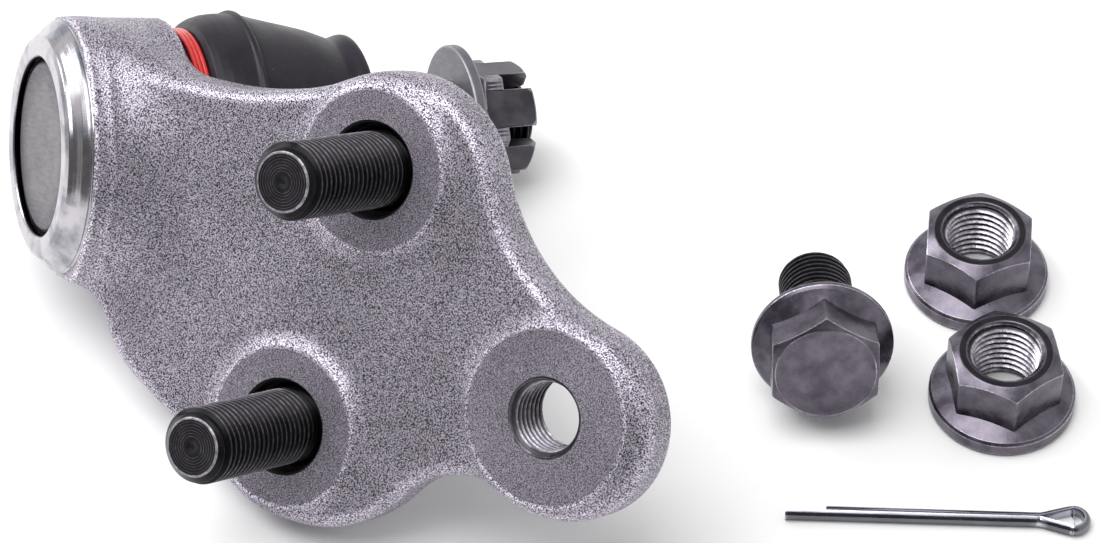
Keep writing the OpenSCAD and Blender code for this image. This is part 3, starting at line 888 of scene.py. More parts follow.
@dataclass(frozen=True)
class Phosphate(Finish):
    """Black phosphate on steel, with a fine grain and metal that shows on crests and corners; it can be
    painted near black below a height, as the shade inside a bore, and painted dark on a top face, as a dark
    reflection.
    """

    tone: float = 0.022
    roughness: float = 0.36
    grain: float = 0.16
    depth: float = 0.012
    worn: float = 0.45
    bright: float = 0.3
    marks: float = 0.0
    edge_low: float = 0.5
    edge_high: float = 1.6
    cloud_size: float = 3.2
    scuff_size: float = 0.9
    metallic: float = 0.55
    specular: float = 0.5
    # heights below and above which the colour is painted dark, as shade in a bore and as a dark reflection on
    # a top face, and the tones used
    shaded_below: float | None = None
    shaded_above: float | None = None
    painted_shade: float = 0.002
    painted_top_tone: float = 0.012

    def dress(self, g: Graph) -> None:
        """Adds the finish's nodes.

        Args:
            g: The material's graph.
        """
        fine = g.noise(self.grain, 2.0, rough=0.7)
        cloud = g.spread(g.noise(self.cloud_size, 4.0), 0.35, 0.7)
        body = g.mixed(cloud, plum(self.tone, 0.16), plum(self.tone * 2.2, 0.12))
        scuffs = g.spread(g.noise(self.scuff_size, 4.0, rough=0.7), 0.45, 0.7, 0.35, 1.0)
        scuffed = g.sum("MULTIPLY", g.edges(self.edge_low, self.edge_high), scuffs)
        worn = g.sum("MULTIPLY", scuffed, self.worn)
        colour = g.mixed(worn, body, plum(self.bright, 0.08))
        # painted shade: below shaded_below the colour goes near black, as the shade of the bore round a stud
        if self.shaded_below is not None:
            inside = g.spread(g.axial()[1], self.shaded_below - 0.4, self.shaded_below, 1.0, 0.0)
            colour = g.mixed(inside, colour, grey(self.painted_shade))
        # painted reflection: above shaded_above the top face is darkened, as the dark reflection that it
        # shows
        if self.shaded_above is not None:
            face = g.spread(g.axial()[1], self.shaded_above, self.shaded_above + 0.05, 0.0, 0.85)
            colour = g.mixed(face, colour, plum(self.painted_top_tone, 0.2))
        height = fine
        if self.marks:
            height = g.sum("ADD", height, g.sum("MULTIPLY", g.rings(0.3), self.marks))
        rough = g.spread(cloud, 0.0, 1.0, self.roughness, self.roughness + 0.14)
        g.set(Base_Color=colour, Metallic=self.metallic, Roughness=rough, Normal=g.bump(height, self.depth))
        g.set(Specular_IOR_Level=self.specular)


@dataclass(frozen=True)
class SatinSteel(Finish):
    """Plain steel or plating with soft clouds, light scratches and brighter edges, and where asked a ring
    painted dark towards its rim as shade.
    """

    tone: float = 0.25
    warm: float = 0.0
    roughness: float = 0.38
    metallic: float = 0.9
    edge_tone: float = 0.5
    cloud_size: float = 4.5
    grain: float = 0.5
    depth: float = 0.01
    # painted shade: the radius from which the colour darkens towards the rim, and the width over which it
    # does
    painted_shade_beyond: float | None = None
    painted_shade_over: float = 4.0

    def dress(self, g: Graph) -> None:
        """Adds the finish's nodes.

        Args:
            g: The material's graph.
        """
        cloud = g.spread(g.noise(self.cloud_size, 4.0), 0.3, 0.7)
        body = g.mixed(cloud, grey(self.tone * 0.85, self.warm), grey(self.tone * 1.15, self.warm))
        colour = g.mixed(g.sum("MULTIPLY", g.edges(), 0.6), body, grey(self.edge_tone, self.warm))
        # painted shade: outward of a radius the colour darkens, as the shade of the recess near the rim
        if self.painted_shade_beyond is not None:
            painted_rim_shade = g.spread(g.axial()[0], self.painted_shade_beyond, self.painted_shade_beyond + self.painted_shade_over, 0.0, 0.75)
            colour = g.mixed(painted_rim_shade, colour, plum(self.tone * 0.3, 0.3))
        along_x = (0.15, 1.0, 1.0)
        stretched = g.add("VectorMath", {"operation": "MULTIPLY"}, in0=g.points, in1=along_x).outputs[0]
        scratches = g.noise(self.grain, 4.0, stretched, 0.7)
        rough = g.spread(scratches, 0.35, 0.7, self.roughness - 0.06, self.roughness + 0.1)
        normal = g.bump(scratches, self.depth)
        g.set(Base_Color=colour, Metallic=self.metallic, Roughness=rough, Normal=normal)


@dataclass(frozen=True)
class Rubber(Finish):
    """Matt black moulded rubber with a little dust on it."""

    tone: float = 0.006
    dust_size: float = 0.7
    dust_tone: float = 0.2
    bloom_size: float = 7.0
    depth: float = 0.02

    def dress(self, g: Graph) -> None:
        """Adds the finish's nodes.

        Args:
            g: The material's graph.
        """
        dust = g.spread(g.noise(self.dust_size, 3.0, rough=0.75), 0.66, 0.78)
        bloom = g.spread(g.noise(self.bloom_size, 3.0), 0.35, 0.7)
        body = g.mixed(bloom, plum(self.tone, 0.4), plum(self.tone * 2.4, 0.4))
        colour = g.mixed(g.sum("MULTIPLY", dust, 0.5), body, grey(self.dust_tone))
        rough = g.spread(bloom, 0.0, 1.0, 0.34, 0.5)
        height = g.sum("ADD", g.noise(0.5, 3.0), g.sum("MULTIPLY", g.rings(0.8), 0.5))
        g.set(Base_Color=colour, Roughness=rough, Normal=g.bump(height, self.depth), Specular_IOR_Level=0.28)


@dataclass(frozen=True)
class Enamel(Finish):
    """Glossy coloured coating on wire."""

    colour: tuple[float, float, float] = (0.62, 0.012, 0.008)

    def dress(self, g: Graph) -> None:
        """Adds the finish's nodes.

        Args:
            g: The material's graph.
        """
        cloud = g.spread(g.noise(1.4, 3.0), 0.3, 0.7)
        dark = tuple(0.75 * c for c in self.colour)
        g.set(
            Base_Color=g.mixed(cloud, (*dark, 1.0), (*self.colour, 1.0)),
            Roughness=g.spread(cloud, 0.0, 1.0, 0.26, 0.36),
            Coat_Weight=0.4,
            Normal=g.bump(g.noise(0.4, 2.0), 0.006),
        )


@dataclass(frozen=True)
class Polymer(Finish):
    """Moulded bearing plastic."""

    colour: tuple[float, float, float] = (0.62, 0.58, 0.48)

    def dress(self, g: Graph) -> None:
        """Adds the finish's nodes.

        Args:
            g: The material's graph.
        """
        cloud = g.spread(g.noise(3.0, 3.0), 0.3, 0.7)
        dark = tuple(0.85 * c for c in self.colour)
        g.set(
            Base_Color=g.mixed(cloud, (*dark, 1.0), (*self.colour, 1.0)),
            Roughness=g.spread(cloud, 0.0, 1.0, 0.4, 0.5),
            Normal=g.bump(g.noise(0.3, 2.0), 0.01),
        )


FORGED = BlastedSteel("blasted_forging", "forging")
SPOT_FACED = BlastedSteel("spot_face", "forging", tone=0.25, contrast=0.8, grain=0.15, milled=0.25, worn=0.0)
# the rim is painted near black within 14.6 mm of its axis, as shade on the aperture's inner wall
TURNED = TurnedSteel("turned_rim", "forging", painted_shade_within=14.6)
BALL_STEEL = TurnedSteel("ball_steel", "ball_stud", tone=0.3, roughness=0.3)

# painted shade: near black, matt and not metal, as the shade in the gap round a mounting stud
PAINTED_BORE_SHADE = Phosphate("bore_painted_shade", "forging", tone=0.004, roughness=0.7, worn=0.0, metallic=0.0)
TAPPED = Phosphate(
    "tapped_steel", "forging", tone=0.03, roughness=0.26, worn=0.9, bright=0.8, edge_low=0.3, edge_high=2.0
)
BLACKED = Phosphate(
    "black_thread",
    "phosphate",
    tone=0.005,
    roughness=0.26,
    worn=0.8,
    bright=0.6,
    edge_low=1.3,
    edge_high=3.2,
    specular=0.2,
)
# the stud is painted near black below its boss face, as the shade in the bore round it
PRESSED_IN = replace(BLACKED, name="plate_stud_black", shaded_below=0.2)
BLACKED_TIP = Phosphate(
    "black_tip", "phosphate", tone=0.01, worn=0.8, bright=0.7, marks=1.6, depth=0.03, specular=0.3
)
BLACKED_NUT = Phosphate(
    "black_nut",
    "phosphate",
    tone=0.08,
    roughness=0.22,
    metallic=0.9,
    worn=0.8,
    bright=0.8,
    # the nut's top face above this height is painted dark, as a dark reflection
    shaded_above=12.24,
)
NUT_THREAD = Phosphate(
    "nut_thread",
    "phosphate",
    tone=0.02,
    roughness=0.2,
    metallic=0.95,
    worn=1.0,
    bright=0.95,
    edge_low=-0.5,
    edge_high=1.2,
)
CASTLE_BLACK = Phosphate("castle_nut_black", "phosphate", tone=0.035, roughness=0.32, worn=0.8, bright=0.6)

# the cap is painted darker outward of 8.8 mm from its axis, as shade near its rim
CAP_STEEL = SatinSteel(
    "cap_steel", "cap", tone=0.15, roughness=0.4, metallic=0.7, edge_tone=0.3, painted_shade_beyond=8.8
)
WASHER_STEEL = SatinSteel("washer_steel", "washer", tone=0.17, warm=-0.05, roughness=0.4, metallic=0.8)
ZINC = SatinSteel("zinc_plate", "zinc", tone=0.14, warm=-0.06, roughness=0.2, metallic=1.0, edge_tone=0.8)
INNER_STEEL = SatinSteel("spring_steel", "inner_steel", own_points=False, tone=0.3)

RUBBER = Rubber("boot_rubber", "boot")
RED_WIRE = Enamel("red_clamp_wire", "clamp")
SEAT_PLASTIC = Polymer("seat_plastic", "seat", own_points=False)


# Bracket


@dataclass
class Forging:
    """The forged bracket: a plate with three bosses that grows into a round, inclined ball housing.

    Heights in the plate are measured up from the boss faces. Heights in the housing are measured along its
    axis from the ball's centre, towards the castle nut.
    """

    plate_t: float = 10.0
    boss_h: float = 1.2
    edge_round: float = 2.4
    boss_radii: tuple[float, float, float] = (12.4, 12.4, 13.4)
    boss_rim: float = 0.15
    boss_flare: float = 0.9
    face_drop: float = 0.05

    throat_r: float = 17.0
    throat_aside: float = -3.0
    throat_ends: tuple[float, float] = (-4.0, 3.0)
    throat_feet: tuple[tuple[float, float, float], ...] = ((-19.0, -1.0, 9.0), (-36.0, -20.0, 7.0))
    foot_heights: tuple[float, float] = (1.0, 3.5)

    throat_blend: float = 4.0
    front_blend: float = 6.3
    back_blend: float = 3.5
    boss_blend: float = 2.2
    facing_from: float = 0.2
    facing_gain: float = 2.0
    fade_from: float = -9.0
    fade_over: float = 5.0

    housing_r: float = 21.0
    housing_front: float = -11.2
    housing_back: float = 6.2
    front_corner: float = 0.3
    back_corner: float = 1.3
    corner_change: float = -4.0
    barrel_reach: float = 30.0
    ridge_at: float = -8.2
    ridge_rise: float = 0.3
    ridge_w: float = 0.8
    neck_r: float = 16.45
    neck_end: float = 11.3
    boot_from: float = 5.5

    seat_r: float = 13.32
    seat_ends: tuple[float, float] = (-12.5, 7.0)
    mouth_r: float = 10.0
    mouth_ends: tuple[float, float] = (6.0, 12.5)
    mouth_flare: float = 7.2

    bore_r: float = 7.35
    bore_depth: float = 3.45
    bore_chamfer: float = 0.4
    tapped_mouth_r: float = 6.35
    hole_depths: tuple[float, float, float] = (3.5, 3.5, 20.0)
    hole_radii: tuple[float, float, float] = (8.1, 8.1, 7.0)

    cell: float = 0.6
    lowest: tuple[float, float, float] = (-61.0, -20.0, -32.0)
    highest: tuple[float, float, float] = (68.0, 69.0, 12.0)
    settle_passes: int = 3
    settle_most: float = 0.4

    def __post_init__(self) -> None:
        """Sets out the outline's lobes, each a centre and a radius, and the hollow after each of them."""
        upper, hole, ball = (np.array(p[:2]) for p in (LAYOUT.upper_at, LAYOUT.hole_at, LAYOUT.ball_at))
        self.lobes = [
            (hole + (2.0, -1.1), 15.2),
            (upper + (1.95, -3.5), 18.2),
            (ball + (-2.3, 0.3), 19.2),
            (ball + (20.2, -23.8), 19.2),
            (np.array((5.5, 6.8)), 23.3),
        ]
        self.blends = [31.6, 65.7, 13.8, 0.0, 16.6]
        self.bosses = list(zip((np.zeros(2), upper, hole), self.boss_radii))
        self.corners = self.outline()
        self.throat_planes = self.throat()

    def hollow(self, i: int) -> Array:
        """Finds the hollow between a lobe and the next.

        Args:
            i: The lobe's number.

        Returns:
            The hollow's centre.
        """
        (a, ra), (b, rb) = self.lobes[i], self.lobes[(i + 1) % len(self.lobes)]
        ra, rb = ra + self.blends[i], rb + self.blends[i]
        d = float(np.linalg.norm(b - a))
        u = (b - a) / d
        along = (ra**2 - rb**2 + d**2) / (2 * d)
        return a + along * u + math.sqrt(ra**2 - along**2) * np.array((u[1], -u[0]))

    def leaving(self, i: int) -> tuple[float, float]:
        """Finds where the outline passes from a lobe to the next.

        Args:
            i: The lobe's number.

        Returns:
            The angle at which it leaves that lobe, and the angle at which it meets the next.
        """
        a, ra = self.lobes[i]
        b, rb = self.lobes[(i + 1) % len(self.lobes)]
        if self.blends[i] == 0:
            v = b - a
            normal = math.atan2(v[1], v[0]) - math.acos((ra - rb) / float(np.linalg.norm(v)))
            return normal, normal
        c = self.hollow(i)
        return tuple(math.atan2(*(c - p)[::-1]) for p in (a, b))

    def outline(self) -> Array:
        """Draws the plate's outline.

        Returns:
            Its points, anticlockwise.
        """
        points = []
        count = len(self.lobes)
        for i, (centre, radius) in enumerate(self.lobes):
            start = self.leaving((i - 1) % count)[1]
            end, meet = self.leaving(i)
            sweep = (end - start) % FULL_TURN
            points += [centre + radius * unit(start + sweep * t) for t in np.linspace(0, 1, 60)]
            if self.blends[i]:
                c = self.hollow(i)
                sweep = (end - meet) % FULL_TURN
                turns = [end + math.pi - sweep * t for t in np.linspace(0, 1, 24)[1:-1]]
                points += [c + self.blends[i] * unit(t) for t in turns]
        return np.array(points)

    def outline_distance(self, x: Array, y: Array) -> Array:
        """Measures how far points are from the plate's outline.

        Args:
            x: Plate-frame x.
            y: Plate-frame y.

        Returns:
            The distance, below 0 inside the outline.
        """
        best = np.full(x.shape, np.inf)
        inside = np.zeros(x.shape, bool)
        for (x0, y0), (x1, y1) in zip(self.corners, np.roll(self.corners, -1, 0)):
            ex, ey = x1 - x0, y1 - y0
            t = np.clip(((x - x0) * ex + (y - y0) * ey) / max(ex * ex + ey * ey, 1e-12), 0, 1)
            best = np.minimum(best, (x - x0 - t * ex) ** 2 + (y - y0 - t * ey) ** 2)
            if y0 != y1:
                inside ^= ((y0 > y) != (y1 > y)) & (x < ex * (y - y0) / (y1 - y0) + x0)
        return np.where(inside, -1, 1) * np.sqrt(best)

    def to_housing(self, x: Array, y: Array, z: Array) -> tuple[Array, Array, Array]:
        """Takes points of the plate's frame to the housing's frame.

        Args:
            x: Plate-frame x.
            y: Plate-frame y.
            z: Plate-frame z.

        Returns:
            The same points' x, y and z in the housing's frame.
        """
        turn = LAYOUT.housing_in_plate.turn
        p = (x - LAYOUT.ball_at[0], y - LAYOUT.ball_at[1], z - LAYOUT.ball_at[2])
        return tuple(sum(turn[k, axis] * p[k] for k in range(3)) for axis in range(3))

    def throat(self) -> Array:
        """Lays out the solid throat that carries the housing out of the plate.

        Returns:
            The planes of its skin, each a normal and an offset.
        """
        ring = np.array([(math.cos(t), math.sin(t), 0) for t in angles(48)])
        place = LAYOUT.housing_in_plate
        discs = [place.out(ring * self.throat_r + (0, self.throat_aside, z)) for z in self.throat_ends]
        upper = np.array((*LAYOUT.upper_at, 0.0))
        for x, y, radius in self.throat_feet:
            discs += [ring * radius + upper + (x, y, z - self.plate_t) for z in self.foot_heights]
        bm = bmesh.new()
        for p in np.vstack(discs):
            bm.verts.new(p)
        bmesh.ops.convex_hull(bm, input=bm.verts)
        middle = np.mean([v.co for v in bm.verts], axis=0)
        planes = set()
        for face in bm.faces:
            face.normal_update()
            normal, offset = np.array(face.normal), float(np.dot(face.normal, face.verts[0].co))
            if float(normal @ middle) > offset:
                normal, offset = -normal, -offset
            planes.add((*np.round(normal, 3), round(offset, 2)))
        bm.free()
        return np.array(sorted(planes))

    def distance(self, x: Array, y: Array, z: Array, outline: Array) -> Array:
        """Measures how far points are from the forging's skin.

        Args:
            x: Plate-frame x.
            y: Plate-frame y.
            z: Plate-frame z.
            outline: Distance to the outline at x and y.

        Returns:
            The distance, below 0 inside the forging.
        """
        web_t = self.plate_t - self.boss_h
        web_side = np.abs(z + (self.plate_t + self.boss_h) / 2) - web_t / 2
        web = rounded_overlap(outline, web_side, self.edge_round)
        throat = np.full(np.broadcast(x, y, z).shape, -np.inf)
        for a, b, c, d in self.throat_planes:
            throat = np.maximum(throat, a * x + b * y + c * z - d)
        hx, hy, hz = self.to_housing(x, y, z)
        out = np.hypot(hx, hy)
        room = out - self.boot_room(hz)
        arm = rounded_union(web, throat, self.throat_blend)
        arm = np.maximum(arm, -np.maximum(self.boot_from - hz, room))
        body = self.with_barrel(arm, hx, hz, out, z)
        shelf = np.maximum(np.maximum(self.housing_back + 0.02 - hz, room), self.neck_r - out)
        neck = np.maximum(np.maximum(out - self.neck_r, -hz), hz - self.neck_end)
        body = np.minimum(np.maximum(body, -shelf), neck)
        over_face = z + self.face_drop
        for (cx, cy), radius in self.bosses:
            flared = radius + self.boss_rim - np.clip(z, -self.boss_h, 0) * self.boss_flare
            boss = np.maximum(np.maximum(np.hypot(x - cx, y - cy) - flared, over_face), -z - self.plate_t / 2)
            body = rounded_union(body, boss, self.boss_blend)
            body = np.where(out < self.barrel_reach, body, np.maximum(body, over_face))
        return np.maximum(body, -self.hollows(x, y, z, hz, out))

    def with_barrel(self, arm: Array, hx: Array, hz: Array, out: Array, z: Array) -> Array:
        """Joins the round barrel of the housing to its arm, with a wider fillet on the side of the bosses.

        Args:
            arm: Distance to the plate and its throat.
            hx: Housing-frame x, which points away from the bosses.
            hz: Height along the housing's axis.
            out: Distance from that axis.
            z: Plate-frame z.

        Returns:
            Distance to both.
        """
        facing = np.clip(-hx / np.maximum(out, 1.0) * self.facing_gain - self.facing_from, 0, 1)
        facing = facing * np.clip((z - self.fade_from) / self.fade_over, 0, 1)
        corner = np.where(hz < self.corner_change, self.front_corner, self.back_corner)
        front, back = self.housing_front, self.housing_back
        far = np.abs(hz - (front + back) / 2) - (back - front) / 2
        ridge = self.ridge_rise * facing * np.exp(-(((hz - self.ridge_at) / self.ridge_w) ** 2))
        barrel = rounded_overlap(out - self.housing_r - ridge, far, corner)
        blend = self.back_blend + (self.front_blend - self.back_blend) * facing
        return np.maximum(rounded_union(arm, barrel, blend), self.housing_front - hz)

    def hollows(self, x: Array, y: Array, z: Array, hz: Array, out: Array) -> Array:
        """Measures how far points are from what is cut out of the forging.

        Args:
            x: Plate-frame x.
            y: Plate-frame y.
            z: Plate-frame z.
            hz: Height along the housing's axis.
            out: Distance from that axis.

        Returns:
            The distance, below 0 inside the seat's cavity, its mouth and the three holes.
        """
        flare = np.clip(hz - self.mouth_flare, 0, None)
        (seat_low, seat_high), (mouth_low, mouth_high) = self.seat_ends, self.mouth_ends
        cavity = np.maximum(out - self.seat_r, np.maximum(seat_low - hz, hz - seat_high))
        mouth = np.maximum(out - self.mouth_r - flare, np.maximum(mouth_low - hz, hz - mouth_high))
        cut = np.minimum(cavity, mouth)
        for ((cx, cy), _), deep, radius in zip(self.bosses, self.hole_depths, self.hole_radii):
            cut = np.minimum(cut, np.maximum(np.hypot(x - cx, y - cy) - radius, -z - deep))
        return cut

    def boot_room(self, hz: Array) -> Array:
        """Radius that stays free for the boot at a height along the housing's axis."""
        return np.interp(hz, (5.5, 9.0, 11.0, 14.5), (19.6, 20.3, 21.6, 22.9))

    def net(self) -> Net:
        """Makes the forging's skin.

        Returns:
            The net in the plate's frame.
        """
        low, high = np.array(self.lowest), np.array(self.highest)
        counts = np.ceil((high - low) / self.cell).astype(int) + 1
        x, y, z = (low[k] + self.cell * np.arange(counts[k]) for k in range(3))
        gx, gy = np.meshgrid(x, y, indexing="ij")
        flat = self.outline_distance(gx, gy)
        values = self.distance(x[:, None, None], y[None, :, None], z[None, None, :], flat[:, :, None])
        net = skin_of(values, low, self.cell)
        for _ in range(self.settle_passes):
            net.points = self.settled(net.points)
        return net

    def settled(self, p: Array) -> Array:
        """Moves points onto the skin along its slope.

        Args:
            p: The points.

        Returns:
            The moved points.
        """
        step = 0.02

        def at(q: Array) -> Array:
            """Distance of points to the skin."""
            return self.distance(q[:, 0], q[:, 1], q[:, 2], self.outline_distance(q[:, 0], q[:, 1]))

        here = at(p)
        slope = np.stack([(at(p + step * axis) - here) / step for axis in np.eye(3)], -1)
        size = np.clip((slope**2).sum(1), 0.25, None)
        return p - (np.clip(here, -self.settle_most, self.settle_most) / size)[:, None] * slope

    def build(self) -> None:
        """Makes the forging, its spot faces, its stud bores' walls and its tapped hole."""
        new_piece("forged_bracket", self.net(), LAYOUT.plate, FORGED, Body.BRACKET, "housing", sharp=55)
        for name, (centre, radius) in zip(("lower", "upper", "hole"), self.bosses):
            place = LAYOUT.plate.inside((*centre, 0.0))
            rim = [(radius - 0.3, -0.9), (radius, -0.6), (radius, 0.0)]
            if name == "hole":
                self.tapped_hole(place)
                face = [*rim, (self.tapped_mouth_r, 0.0)]
            else:
                self.bore_wall(name, place)
                face = [*rim, (self.bore_r + self.bore_chamfer, 0.0)]
            net = turned_net(softened(face, 0.12), 160)
            new_piece(f"{name}_spot_face", net, place, SPOT_FACED, Body.BRACKET)

    def tapped_hole(self, place: Place) -> None:
        """Makes the tapped hole's thread and the narrow ring round its far end.

        Args:
            place: The frame on the middle of its boss face.
        """
        thread = Thread(
            -self.plate_t, 0.0, INNER_CREST, INNER_ROOT, Facing.IN, chamfer_low=1.0, chamfer_high=1.0
        )
        new_piece("tapped_hole_thread", thread.net(), place, TAPPED, Body.BRACKET, as_laid=True)
        back = -self.plate_t - 0.02
        ring = [(self.tapped_mouth_r, back), (self.hole_radii[2] + 0.4, back)]
        new_piece("tapped_hole_back", turned_net(ring), place, SPOT_FACED, Body.BRACKET)

    def bore_wall(self, name: str, place: Place) -> None:
        """Makes the wall and floor of the gap round a mounting stud, coloured near black as painted shade.

        Args:
            name: The stud's name.
            place: The frame on the middle of its boss face.
        """
        r, deep = self.bore_r, -self.bore_depth
        wall = [(r + self.bore_chamfer, 0.0), (r, -self.bore_chamfer), (r, deep), (5.0, deep)]
        new_piece(f"{name}_bore_wall", turned_net(softened(wall, 0.15)), place, PAINTED_BORE_SHADE, Body.BRACKET)


def unit(angle: float) -> Array:
    """Unit vector at an angle in radians."""
    return np.array((math.cos(angle), math.sin(angle)))


def rounded_union(a: Array, b: Array, radius: float | Array) -> Array:
    """Joins two distance fields with a fillet of that radius."""
    u, v = np.maximum(radius - a, 0), np.maximum(radius - b, 0)
    return np.maximum(radius, np.minimum(a, b)) - np.hypot(u, v)


def rounded_overlap(a: Array, b: Array, radius: float | Array) -> Array:
    """Keeps where two distance fields overlap, with an edge rounded to that radius."""
    u, v = a + radius, b + radius
    return np.minimum(np.maximum(u, v), 0) + np.hypot(np.maximum(u, 0), np.maximum(v, 0)) - radius


def skin_of(values: Array, low: Array, cell: float) -> Net:
    """Quads along the zero level of a table of distances.

    Args:
        values: Distances at the table's points.
        low: Place of its first point.
        cell: Distance between its points.

    Returns:
        The net, one point per cell that the level crosses.
    """
    inside = values < 0
    nx, ny, nz = values.shape
    total = np.zeros((nx - 1, ny - 1, nz - 1, 3))
    hits = np.zeros((nx - 1, ny - 1, nz - 1))
    offsets = [(i, j) for i in (0, 1) for j in (0, 1)]
    for axis in range(3):
        others = [k for k in range(3) if k != axis]
        for i, j in offsets:
            pick = [slice(None)] * 3
            pick[others[0]] = slice(i, values.shape[others[0]] - 1 + i)
            pick[others[1]] = slice(j, values.shape[others[1]] - 1 + j)
            first, second = list(pick), list(pick)
            first[axis], second[axis] = slice(0, -1), slice(1, None)
            a, b = values[tuple(first)], values[tuple(second)]
            cross = (a < 0) != (b < 0)
            t = np.where(cross, a / np.where(cross, a - b, 1.0), 0.0)
            add = np.zeros(total.shape)
            add[..., axis], add[..., others[0]], add[..., others[1]] = t, i, j
            total += add * cross[..., None]
            hits += cross
    used = hits > 0
    index = np.full(used.shape, -1)
    index[used] = np.arange(int(used.sum()))
    cells = np.argwhere(used)
    points = low + cell * (cells + total[used] / hits[used][:, None])
    faces: list[tuple[int, ...]] = []
    for axis in range(3):
        u, v = (axis + 1) % 3, (axis + 2) % 3
        first, second = [slice(1, -1)] * 3, [slice(1, -1)] * 3
        first[axis], second[axis] = slice(0, -1), slice(1, None)
        change = inside[tuple(first)] != inside[tuple(second)]
        at = np.argwhere(change)
        at[:, u] += 1
        at[:, v] += 1
        step_u, step_v = np.eye(3, dtype=int)[u], np.eye(3, dtype=int)[v]
        loop = [index[tuple((at - a * step_u - b * step_v).T)] for a, b in ((1, 1), (0, 1), (0, 0), (1, 0))]
        quads = np.stack(loop, -1)
        leaving = inside[tuple(at.T)]
        quads[~leaving] = quads[~leaving][:, ::-1]
        faces += [tuple(q) for q in quads.tolist()]
    return Net(points, faces)


@dataclass
class BallHousing:
    """Turned front rim with its rolled lip, the cap behind it, and the pieces hidden round the ball.

    Heights are measured along the housing's axis from the ball's centre, towards the castle nut.
    """

    aperture_r: float = 14.5
    pocket_r: float = 16.42
    front: float = -15.0
    back: float = -10.2
    groove_at: float = -11.5
    cap_front: float = -14.0
    cap_back: float = -11.4

    def rim_outline(self) -> Outline:
        """Draws the rim, with its lip, turned slope, stepped groove and shoulder.

        Returns:
            Its closed outline as (radius, height).
        """
        lip, front, groove = self.aperture_r, self.front, self.groove_at
        corners = [
            ((lip + 0.02, front + 1.22), 0.1),
            ((lip, front + 0.45), 0.2),
            ((lip + 0.45, front), 0.45),
            ((lip + 2.7, front), 0.7),
            ((lip + 3.6, front + 0.45), 0.5),
            ((lip + 3.9, front + 1.05), 0.25),
            ((18.9, groove - 1.95), 0.8),
            ((19.75, groove - 1.25), 1.2),
            ((20.35, groove - 0.45), 0.5),
            ((20.45, groove - 0.12), 0.08),
            ((20.3, groove), 0.05),
            ((20.62, groove + 0.16), 0.08),
            ((20.72, groove + 0.38), 0.08),
            ((20.6, groove + 0.48), 0.05),
            ((20.92, groove + 0.64), 0.1),
            ((20.92, self.back), 0.0),
            ((self.pocket_r, self.back), 0.0),
            ((self.pocket_r, front + 1.22), 0.1),
        ]
        return softened([p for p, _ in corners], [r for _, r in corners], closed=True)

    def cap_outline(self) -> Outline:
        """Draws the pressed cap.

        Returns:
            Its closed outline as (radius, height).
        """
        front, back = self.cap_front, self.cap_back
        edge = self.pocket_r - 0.05
        corners = [
            ((0.0, front + 0.25), 0.0),
            ((6.0, front + 0.2), 2.0),
            ((11.0, front + 0.02), 3.0),
            ((13.3, front - 0.1), 0.5),
            ((13.95, front + 0.35), 0.5),
            ((14.05, front + 1.3), 0.2),
            ((edge, front + 1.3), 0.2),
            ((edge, back), 0.2),
            ((13.0, back), 0.3),
            ((12.6, front + 1.4), 0.8),
            ((0.0, front + 1.5), 0.0),
        ]
        return softened([p for p, _ in corners], [r for _, r in corners])

    def build(self) -> None:
        """Makes the rim and the cap and finishes the hidden solids."""
        place = LAYOUT.housing
        rim = turned_net(self.rim_outline(), 192, closed=True)
        cap = turned_net(self.cap_outline(), 160)
        new_piece("turned_rim", rim, place, TURNED, Body.BRACKET)
        new_piece("pressed_cap", cap, place, CAP_STEEL, Body.BRACKET, "end_cap")
        for name in ("cap_side_seat", "stud_side_seat"):
            refinish(name, SEAT_PLASTIC)
        refinish("preload_washer", INNER_STEEL)


def refinish(node: str, finish: Finish) -> None:
    """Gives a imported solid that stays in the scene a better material.

    Args:
        node: The solid's name.
        finish: What it looks like.
    """
    for material_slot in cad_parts[node].material_slots:
        material_slot.link = "OBJECT"
        material_slot.material = finish.material()


